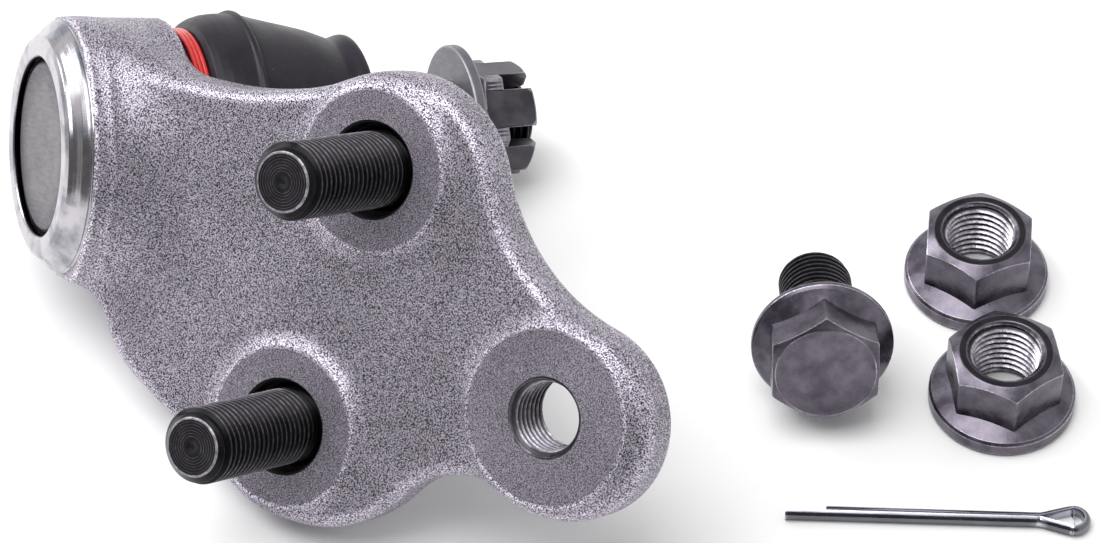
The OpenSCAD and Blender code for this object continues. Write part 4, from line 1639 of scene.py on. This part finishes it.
@dataclass
class PlateStud:
    """Pressed-in mounting stud: head on the back face, splined shank and threaded end."""

    name: str
    at: tuple[float, float]
    turn: float = 0.0
    proud: float = 24.4
    plate_t: float = 10.0
    head_r: float = 9.5
    head_t: float = 2.6
    knurl_r: float = 7.3
    knurl_top: float = -3.0
    tip_chamfer: float = 1.35
    splines: int = 30
    spline_depth: float = 0.28

    def tip_outline(self) -> Outline:
        """Draws the end face, with the small centre and rings that turning leaves.

        Returns:
            Its outline as (radius, height), from the axis outwards.
        """
        top = self.proud
        edge = OUTER_CREST - self.tip_chamfer
        out: Outline = [(0.0, top - 0.3), (0.5, top - 0.28), (0.9, top - 0.06), (1.2, top - 0.02)]
        for r in np.arange(1.5, edge - 0.4, 0.45):
            out += [(r, top), (r + 0.18, top - 0.035), (r + 0.3, top - 0.005)]
        return out + [(edge - 0.2, top), (edge, top - 0.2)]

    def splined(self) -> Net:
        """Makes the splined shank inside the plate.

        Returns:
            The net, open at both ends.
        """
        a = angles(self.splines * 6)
        ridge = self.knurl_r - self.spline_depth * np.clip(np.cos(a * self.splines) * 0.8 + 0.4, 0, 1)
        rows = []
        for z, share in ((-self.plate_t, 1.0), (self.knurl_top - 0.7, 1.0), (self.knurl_top - 0.1, 0.0)):
            r = ridge * share + (1 - share) * OUTER_CREST
            rows.append(np.stack([r * np.cos(a), r * np.sin(a), np.full_like(a, z)], -1))
        return sheet_net(np.stack(rows))

    def build(self) -> None:
        """Makes the stud."""
        place = LAYOUT.plate.inside((*self.at, 0.0), (0, 0, self.turn))
        back, low = -self.plate_t, -self.plate_t - self.head_t
        head = [(self.knurl_r, back), (self.head_r, back), (self.head_r, low), (0.0, low)]
        thread = Thread(
            self.knurl_top,
            self.proud - 0.2,
            OUTER_CREST,
            OUTER_ROOT,
            chamfer_low=0.5,
            chamfer_high=self.tip_chamfer,
        )
        shank = turned_net([(5.5, self.knurl_top), (OUTER_CREST, self.knurl_top - 0.1)])
        body = self.splined().joined(turned_net(softened(head, [0, 0.4, 0.8, 0])), shank, thread.net())
        new_piece(f"{self.name}_stud", body, place, PRESSED_IN, Body.BRACKET, f"{self.name}_plate_stud")
        tip = turned_net(self.tip_outline(), 96)
        new_piece(f"{self.name}_stud_tip", tip, place, BLACKED_TIP, Body.BRACKET)


# Ball stud and boot


@dataclass
class BallStud:
    """Ball with its flat, neck, shank, taper and threaded end with a cotter hole."""

    ball_r: float = 11.0
    ball_flat: float = 9.0
    neck_r: float = 6.0
    shank_r: float = 7.8
    taper_from: float = 40.5
    taper_to: float = 55.5
    taper_end_r: float = 6.8
    tip: float = 69.8
    hole_d: float = 3.3
    hole_at: float = 65.95
    hole_reach: float = 9.0
    nut_turn: float = 42.8

    def build(self) -> None:
        """Makes the ball stud."""
        leave = math.sqrt(self.ball_r**2 - self.neck_r**2)
        from_flat = -math.acos(self.ball_flat / self.ball_r)
        to_neck = math.pi / 2 - math.asin(self.neck_r / self.ball_r)
        turns = np.linspace(-math.pi / 2 - from_flat, to_neck, 40)
        ball = [(0.0, -self.ball_flat), *(tuple(self.ball_r * unit(t)) for t in turns)]
        neck = [(self.neck_r, leave + 1.5), (self.shank_r - 0.4, leave + 6.5), (self.shank_r, leave + 7.5)]
        thread_from = self.taper_to + 0.5
        taper = [(self.shank_r, self.taper_from), (self.taper_end_r, self.taper_to)]
        rest = [ball[-1], *neck, *taper, (OUTER_CREST, thread_from)]
        outline = ball + softened(rest, [0, 2.0, 1.0, 1.0, 0.3, 0.3, 0])
        place = LAYOUT.stud
        new_piece("ball_and_shank", turned_net(outline), place, BALL_STEEL, Body.STUD, "ball_stud")
        top, low = self.tip, self.taper_to - 1.5
        thread = Thread(thread_from, top - 0.2, OUTER_CREST, OUTER_ROOT, chamfer_high=0.9)
        tip = [(0.0, top - 0.25), (0.9, top - 0.05), (1.2, top), (4.9, top), (5.1, top - 0.2)]
        core = [(0.0, low), (OUTER_ROOT, low), (5.8, thread_from + 0.1)]
        closed = thread.net().joined(turned_net(tip, 96), turned_net(core, 96))
        end = new_piece("threaded_end", closed, place, BLACKED, Body.STUD)
        r, reach = self.hole_d / 2, self.hole_reach
        hole = turned_net([(0.0, -reach), (r, -reach), (r, reach), (0.0, reach)], 32)
        across = place.inside((0, 0, self.hole_at), (0, 0, self.nut_turn + 30)).inside(turn=(0, 90, 0))
        cut_with(end, hole, across)


@dataclass
class Boot:
    """Rubber boot: thick foot under a wire clamp, moulded ridge, thin wall and a thick small end."""

    foot_at: float = 6.4
    ridge_at: float = 17.5
    end_at: float = 39.1
    ridge_r: float = 22.3
    inner_r: float = 20.0
    sway_from: float = 8.0
    sway_to: float = 38.0
    wire_r: float = 0.4
    wire_ring_r: float = 18.95
    wire_from: float = 7.1
    wire_step: float = 0.74
    wire_turns: float = 3.0
    wire_start: float = 200.0

    def foot_outline(self) -> Outline:
        """Draws the foot, from its sole to the ridge.

        Returns:
            Its closed outline as (radius, height).
        """
        foot, ridge = self.foot_at, self.ridge_at
        outside = [(18.6, foot), (18.5, foot + 0.5), (18.5, 9.5), (19.5, 9.75), (20.4, 10.3), (21.0, 11.3)]
        outside += [(21.45, 12.7), (21.7, 14.4), (21.78, 16.2), (21.8, ridge - 0.75), (22.15, ridge - 0.4)]
        outside += [(self.ridge_r, ridge)]
        inside = [(self.inner_r, ridge), (19.9, 15.6), (19.3, 13.4), (17.9, 11.6), (16.8, 11.0), (16.8, foot)]
        return softened(outside, 0.4, 3)[:-1] + [outside[-1]] + smooth_line(inside, 3)

    def body_outline(self) -> Outline:
        """Draws the body, from the ridge to the small end.

        Returns:
            Its closed outline as (radius, height).
        """
        ridge, end = self.ridge_at, self.end_at
        outside = [(self.ridge_r, ridge), (22.2, ridge + 0.35), (21.7, ridge + 0.65), (21.62, ridge + 1.2)]
        outside += [(21.2, 20.3), (20.2, 23.8), (19.0, 27.5), (17.7, 30.9), (16.3, 33.8), (15.6, 35.3)]
        outside += [(15.65, 36.5), (15.95, 37.7), (15.8, end - 0.5), (15.1, end - 0.05), (13.8, end)]
        inside = [(8.1, end), (8.1, 35.5), (13.3, 34.9), (14.9, 31.5), (18.2, 25.0), (19.4, 20.0)]
        inside += [(self.inner_r, ridge)]
        return smooth_line(outside, 4) + softened(inside, 0.5, 3)

    def swayed(self, points: Array) -> Array:
        """Leans the body from the housing's axis towards the stud's.

        Args:
            points: Points of the body, along the housing's axis.

        Returns:
            Their places in row-frame millimetres.
        """
        share = np.clip((points[:, 2:] - self.ridge_at) / (self.sway_to - self.ridge_at), 0, 1)
        share = share * share * (3 - 2 * share)
        return (1 - share) * LAYOUT.housing.out(points) + share * LAYOUT.stud.out(points)

    def build(self) -> None:
        """Makes the boot's two pieces and its clamp."""
        place = LAYOUT.housing
        foot = turned_net(self.foot_outline(), 160, closed=True)
        body = turned_net(self.body_outline(), 160, closed=True)
        lower = new_piece("boot_foot", foot, place, RUBBER, None, "dust_boot", sharp=50)
        upper = new_piece("boot_body", body, place, RUBBER, None, "dust_boot", sharp=50, bend=self.swayed)
        heights = (self.sway_from, self.ridge_at, self.sway_to)
        along = [tuple(place.out(np.array((0, 0, z))) * MM) for z in heights]
        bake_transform(lower)
        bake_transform(upper)
        turns = np.linspace(0, self.wire_turns * FULL_TURN, int(72 * self.wire_turns) + 1)
        start = math.radians(self.wire_start)
        ring = np.stack([np.cos(turns + start), np.sin(turns + start), 0 * turns], -1)
        height = self.wire_from + turns / FULL_TURN * self.wire_step
        path = ring * self.wire_ring_r + np.stack([0 * turns, 0 * turns, height], -1)
        section = [(self.wire_r * math.cos(t), self.wire_r * math.sin(t)) for t in angles(12)]
        coil = swept_net(path, ring, section)
        new_piece("clamp_wire", coil, place, RED_WIRE, Body.BRACKET, "boot_clamp_ring", sharp=60)
        refinish("boot_lip_ring", INNER_STEEL)


# Nuts, washer and bolt


@dataclass
class CastleNut:
    """Castle nut on the ball stud, with the washer that turns on its collar."""

    seat: float = 56.7
    height: float = 12.4
    flats: float = 18.0
    hex_from: float = 3.4
    hub_r: float = 7.0
    mouth_r: float = 6.05
    slot_w: float = 3.4
    slot_h: float = 5.4
    washer_r: float = 13.0
    washer_t: float = 2.0
    soft_edge: float = 0.14
    turn: float = 42.8

    def build(self) -> None:
        """Makes the nut and its washer."""
        place = LAYOUT.stud.inside((0, 0, self.seat), (0, 0, self.turn))
        top = self.height
        hexagon = Hexagon(self.flats, self.hex_from, top, 1.0, 8.7, foot_drop=0.35)
        hub, collar, shelf = self.hub_r, self.flats / 2 - 0.2, self.washer_t + 0.05
        foot = [(self.mouth_r, 0.0), (hub - 0.2, 0.0), (hub, 0.2), (hub, shelf)]
        foot += [(collar - 0.2, shelf), (collar, shelf + 0.2), (collar, self.hex_from)]
        bore = [(6.6, top), (6.15, top - 0.5), (6.15, 0.4), (self.mouth_r, 0.0)]
        body = hexagon.net(bore, foot)
        nut = new_piece("slotted_nut", body, place, CASTLE_BLACK, Body.STUD, "castle_nut", 32)
        half = self.slot_w / 2
        block = box_net((-12, -half, top - self.slot_h), (12, half, top + 1))
        for k in range(3):
            cut_with(nut, block, place.inside(turn=(0, 0, 30 + 60 * k)))
        soften_edges(nut, self.soft_edge)
        r, t = self.washer_r, self.washer_t
        ring = [(hub + 0.1, 0.0), (r, 0.0), (r, t), (hub + 0.1, t)]
        washer = turned_net(softened(ring, [0.2, 0.5, 0.5, 0.3], closed=True), 144, closed=True)
        place = LAYOUT.stud.inside((0, 0, self.seat))
        new_piece("captive_washer", washer, place, WASHER_STEEL, Body.CAPTIVE_WASHER, "nut_washer")


def soften_edges(obj: bpy.types.Object, width: float) -> None:
    """Rounds an object's crisp edges and supports its wide faces.

    Args:
        obj: The object.
        width: Width of the rounding in millimetres.
    """
    bevel = obj.modifiers.new("soft_edges", "BEVEL")
    bevel.width = width * MM
    bevel.segments = 2
    bevel.limit_method = "ANGLE"
    bevel.angle_limit = math.radians(35)
    bevel.use_clamp_overlap = True
    keep_modifiers(obj)
    bm = bmesh.new()
    bm.from_mesh(obj.data)
    wide = [face for face in bm.faces if face.calc_area() > WIDE_FACE * MM**2]
    bmesh.ops.inset_individual(bm, faces=wide, thickness=0.8 * SUPPORT * MM, use_even_offset=True)
    bm.to_mesh(obj.data)
    bm.free()
    mark_raised(obj.data)
    obj.data.set_sharp_from_angle(angle=math.radians(40))


@dataclass(frozen=True)
class Flange:
    """Round flange with a cone on top, on which a hexagon of the given flats stands."""

    radius: float
    rim_t: float
    cone_top: float
    flats: float
    lip: float = 0.4

    @property
    def corner_r(self) -> float:
        """Radius of the hexagon at its rounded corners."""
        return float(hex_radius(np.array([FULL_TURN / 12]), self.flats, HEX_CORNER)[0])

    @property
    def slope(self) -> float:
        """How far the cone rises for each millimetre inwards."""
        return (self.cone_top - self.rim_t - self.lip) / (self.radius - self.flats / 2)

    @property
    def rise(self) -> float:
        """Height of the cone at the hexagon's corners."""
        return self.rim_t + self.lip + (self.radius - 0.5 - self.corner_r) * self.slope

    def outline(self, inner_r: float) -> Outline:
        """Draws the flange from its seating face to just outside the hexagon's corners.

        Args:
            inner_r: Radius at which the seating face starts.

        Returns:
            Its outline as (radius, height).
        """
        r, rim = self.radius, self.rim_t
        foot = [(inner_r, 0.0), (r - 0.8, 0.0), (r, 0.5), (r, rim), (r - 0.45, rim + 0.42)]
        foot += [(self.corner_r + 0.2, self.rise - 0.2 * self.slope)]
        return softened(foot, [0, 0.3, 0.3, 0.25, 0.3, 0])


@dataclass
class FlangeNut:
    """Hexagon nut on a cone-topped flange, threaded right through."""

    name: str
    body: Body
    at: tuple[float, float, float]
    turn: float
    height: float = 12.3
    flange: Flange = Flange(radius=11.9, rim_t=2.5, cone_top=4.5, flats=17.0)
    mouth_r: float = 6.3

    def build(self) -> None:
        """Makes the nut."""
        place = Place().inside(self.at, (0, 0, self.turn + 30))
        flange, top = self.flange, self.height
        hexagon = Hexagon(flange.flats, flange.rise, top, 1.35, 7.5, foot_slope=flange.slope)
        inner = [(self.mouth_r + 0.25, top), (self.mouth_r, top - 0.1)]
        net = hexagon.net(inner, flange.outline(self.mouth_r))
        thread = Thread(
            0.0, top - 0.1, INNER_CREST, INNER_ROOT, Facing.IN, chamfer_low=0.95, chamfer_high=0.95
        )
        new_piece(f"{self.name}_body", net, place, BLACKED_NUT, self.body, self.name, 32)
        new_piece(f"{self.name}_thread", thread.net(), place, NUT_THREAD, self.body, as_laid=True)


@dataclass
class FlangeBolt:
    """Flange bolt that lies on the edge of its flange and the end of its thread."""

    at: tuple[float, float, float] = (46.06, -6.42, 0.0)
    turn: float = 0.8
    head_h: float = 9.8
    flange: Flange = Flange(radius=11.5, rim_t=1.4, cone_top=4.2, flats=17.0)
    flange_corner: float = 0.5
    under_r: float = 5.2
    length: float = 18.2
    tip_chamfer: float = 0.7625

    @property
    def place(self) -> Place:
        """Lays the bolt down on the edge of its flange and the end of its thread.

        Returns:
            Its frame, with the origin at the flange's face and Z along the thread.
        """
        r, corner = self.flange.radius, self.flange_corner
        dip = math.atan((r - OUTER_CREST) / (self.length - self.tip_chamfer + corner))
        lift = r * math.cos(dip) - corner * math.sin(dip)
        lying = Place().inside(self.at, (0, 0, self.turn)).inside((0, 0, lift))
        return lying.inside(turn=(-90 - math.degrees(dip), 0, 0))

    def build(self) -> None:
        """Makes the bolt."""
        flange, top, end = self.flange, self.head_h, self.length
        hexagon = Hexagon(flange.flats, flange.rise, top, 1.0, 8.1, foot_slope=flange.slope, soft=0.35)
        face = [(7.0, top - 0.12), (4.5, top - 0.02), (2.2, top), (0.0, top)]
        head = hexagon.net(face, flange.outline(self.under_r))
        upright = self.place.inside(turn=(180, 0, 0))
        new_piece("bolt_head", head, upright, BLACKED_NUT, Body.BOLT, "flange_bolt", 32)
        thread = Thread(-0.2, end, OUTER_CREST, OUTER_ROOT, chamfer_high=self.tip_chamfer)
        tip = turned_net([(0.0, end), (5.0, end), (5.3, end)], 96)
        new_piece("bolt_thread", thread.net().joined(tip), self.place, BLACKED, Body.BOLT)


@dataclass
class CotterPin:
    """Half-round wire folded into an eye, with one leg shorter than the other."""

    at: tuple[float, float, float] = (87.6, -36.07, 0.0)
    turn: float = -2.8
    wire_d: float = 2.2
    length: float = 48.3
    eye_d: float = 5.4
    short_by: float = 6.5
    throat: float = 5.3
    split: float = 0.05

    def centre_line(self) -> Array:
        """Lays the wire's flat side from the long leg's end, round the eye, to the short leg's end.

        Returns:
            Its points, measured from the eye's centre with the legs towards -X.
        """
        eye_r, split = (self.eye_d - self.wire_d) / 2, self.split
        lead = math.asin((eye_r - split) / self.throat)
        start = self.eye_d / 2 - self.length
        throat_end = np.array((-eye_r * math.sin(lead), -eye_r * math.cos(lead)))
        line: Outline = [(start, -split), (start + 1.2, -split)]
        line += [(x, -split) for x in np.linspace(start + 3, -self.throat - 0.7, 8)]
        line += [(-self.throat + 0.5, -split - 0.14), tuple(throat_end * 0.99)]
        sweep = np.linspace(-math.pi / 2 - lead, math.pi / 2 + lead, 26)[1:-1]
        eye = [tuple(eye_r * unit(t)) for t in sweep]
        back = [(x, -y) for x, y in reversed(line) if x > start + self.short_by]
        back.append((start + self.short_by, split))
        flat = np.array(smooth_line(line + eye + back, 4))
        return np.column_stack([flat, np.zeros(len(flat))])

    def build(self) -> None:
        """Makes the pin as one bent wire."""
        r = self.wire_d / 2
        place = Place().inside(self.at, (0, 0, self.turn)).inside((-self.eye_d / 2, 0, r))
        path = self.centre_line()
        ahead = np.gradient(path, axis=0)
        ahead /= np.linalg.norm(ahead, axis=1, keepdims=True)
        outward = np.cross(ahead, (0, 0, 1.0))
        section = [(r * math.sin(t), -r * math.cos(t)) for t in np.linspace(0.06, math.pi - 0.06, 15)]
        section += [(0.0, r - 0.12), (0.0, -r + 0.12)]
        wire = swept_net(path, outward, section)
        new_piece("bent_pin", wire, place, ZINC, Body.COTTER, "cotter_pin", 50)


# Studio


@dataclass(frozen=True)
class Lamp:
    """Soft square lamp: its name, place and side in metres, and power in watts."""

    name: str
    spot: tuple[float, float, float]
    size: float
    power: float


@dataclass
class Studio:
    """Pale floor, soft lamps, a white surround and the photograph's camera.

    The surround lights the object evenly, apart from dim_side: it starts to dim at dim_from, the
    cosine to that side, and is dimmest from dim_full on.
    """

    eye: tuple[float, float, float] = (9.376, -421.96, 504.613)
    across: tuple[float, float, float] = (0.999895, -0.000005, -0.014472)
    upward: tuple[float, float, float] = (0.009518, 0.753545, 0.657327)
    lens: float = 130.9
    floor_size: float = 6.0
    surround: float = 0.8
    dim: float = 0.13
    dim_side: tuple[float, float, float] = (-0.37, -0.85, 0.37)
    dim_from: float = 0.5
    dim_full: float = 0.85
    floor_tone: float = 0.93
    lamps: tuple[Lamp, ...] = (
        Lamp("top_lamp", (-0.2, -0.1, 0.95), 0.7, 6.5),
        Lamp("side_lamp", (-0.8, 0.42, 0.6), 0.45, 4.5),
    )

    def camera(self) -> None:
        """Sets up the camera at the photograph's angle."""
        data = bpy.data.cameras.new("camera")
        data.sensor_width = 36.0
        data.lens = self.lens
        data.clip_end = 20.0
        obj = bpy.data.objects.new("camera", data)
        bpy.context.scene.collection.objects.link(obj)
        x, y = np.array(self.across), np.array(self.upward)
        matrix = np.eye(4)
        matrix[:3, 0], matrix[:3, 1], matrix[:3, 2] = x, y, np.cross(x, y)
        matrix[:3, 3] = np.array(self.eye) * MM
        obj.matrix_world = Matrix(matrix.tolist())
        bpy.context.scene.camera = obj

    def floor(self) -> None:
        """Makes the floor."""
        h, tone = self.floor_size / 2, self.floor_tone
        corners = [(-h, -h, 0), (h, -h, 0), (h, h, 0), (-h, h, 0)]
        mesh = bpy.data.meshes.new("floor")
        mesh.from_pydata(corners, [], [(0, 1, 2, 3)])
        obj = bpy.data.objects.new("floor", mesh)
        bpy.context.scene.collection.objects.link(obj)
        graph = Graph("pale_floor", False)
        graph.set(Base_Color=(tone, tone, tone, 1.0), Roughness=0.9, Specular_IOR_Level=0.1)
        mesh.materials.append(graph.material)

    def surroundings(self) -> None:
        """Makes the surround: white to the camera, and light with one dim side to the object."""
        world = bpy.data.worlds.new("surround")
        bpy.context.scene.world = world
        world.use_nodes = True
        tree = world.node_tree
        tree.nodes.clear()
        path = tree.nodes.new("ShaderNodeLightPath")
        seen = tree.nodes.new("ShaderNodeMath")
        seen.operation = "MAXIMUM"
        tree.links.new(path.outputs["Is Camera Ray"], seen.inputs[0])
        tree.links.new(path.outputs["Is Transmission Ray"], seen.inputs[1])
        direction = tree.nodes.new("ShaderNodeTexCoord")
        towards = tree.nodes.new("ShaderNodeVectorMath")
        towards.operation = "DOT_PRODUCT"
        towards.inputs[1].default_value = self.dim_side
        tree.links.new(direction.outputs["Generated"], towards.inputs[0])
        dimmed = tree.nodes.new("ShaderNodeMapRange")
        dimmed.interpolation_type = "SMOOTHSTEP"
        dimmed.inputs["From Min"].default_value = self.dim_from
        dimmed.inputs["From Max"].default_value = self.dim_full
        dimmed.inputs["To Min"].default_value = self.surround
        dimmed.inputs["To Max"].default_value = self.dim
        tree.links.new(towards.outputs["Value"], dimmed.inputs["Value"])
        strength = tree.nodes.new("ShaderNodeMapRange")
        tree.links.new(dimmed.outputs[0], strength.inputs["To Min"])
        strength.inputs["To Max"].default_value = 1.0
        tree.links.new(seen.outputs[0], strength.inputs["Value"])
        back = tree.nodes.new("ShaderNodeBackground")
        back.inputs["Color"].default_value = (1, 1, 1, 1)
        tree.links.new(strength.outputs[0], back.inputs["Strength"])
        out = tree.nodes.new("ShaderNodeOutputWorld")
        tree.links.new(back.outputs[0], out.inputs["Surface"])

    def hang(self, lamp: Lamp) -> None:
        """Hangs a lamp that faces the object.

        Args:
            lamp: The lamp.
        """
        data = bpy.data.lights.new(lamp.name, "AREA")
        data.size = lamp.size
        data.energy = lamp.power
        obj = bpy.data.objects.new(lamp.name, data)
        bpy.context.scene.collection.objects.link(obj)
        spot = np.array(lamp.spot)
        away = spot / np.linalg.norm(spot)
        side = np.cross((0, 1, 0) if abs(away[2]) > 0.9 else (0, 0, 1), away)
        side /= np.linalg.norm(side)
        matrix = np.eye(4)
        matrix[:3, 0], matrix[:3, 1], matrix[:3, 2], matrix[:3, 3] = side, np.cross(away, side), away, spot
        obj.matrix_world = Matrix(matrix.tolist())

    def build(self) -> None:
        """Sets up the studio."""
        self.camera()
        self.floor()
        self.surroundings()
        for lamp in self.lamps:
            self.hang(lamp)
        bpy.context.scene.view_settings.view_transform = "Standard"


def main() -> None:
    """Builds the joint, its hardware and the studio, and reports each piece."""
    logging.basicConfig(level=logging.INFO, format="%(name)s %(message)s")
    Studio().build()
    parts = [
        Forging(),
        BallHousing(),
        PlateStud("upper", LAYOUT.upper_at, 20.0),
        PlateStud("lower", (0.0, 0.0), 75.0),
        BallStud(),
        Boot(),
        CastleNut(),
        FlangeNut("flange_nut_a", Body.NUT_A, (73.01, 15.61, 0.0), 23.5),
        FlangeNut("flange_nut_b", Body.NUT_B, (75.38, -10.25, 0.0), 36.5),
        FlangeBolt(),
        CotterPin(),
    ]
    for part in parts:
        part.build()
        log.info("%s is built", type(part).__name__)


if __name__ == "__main__":
    main()
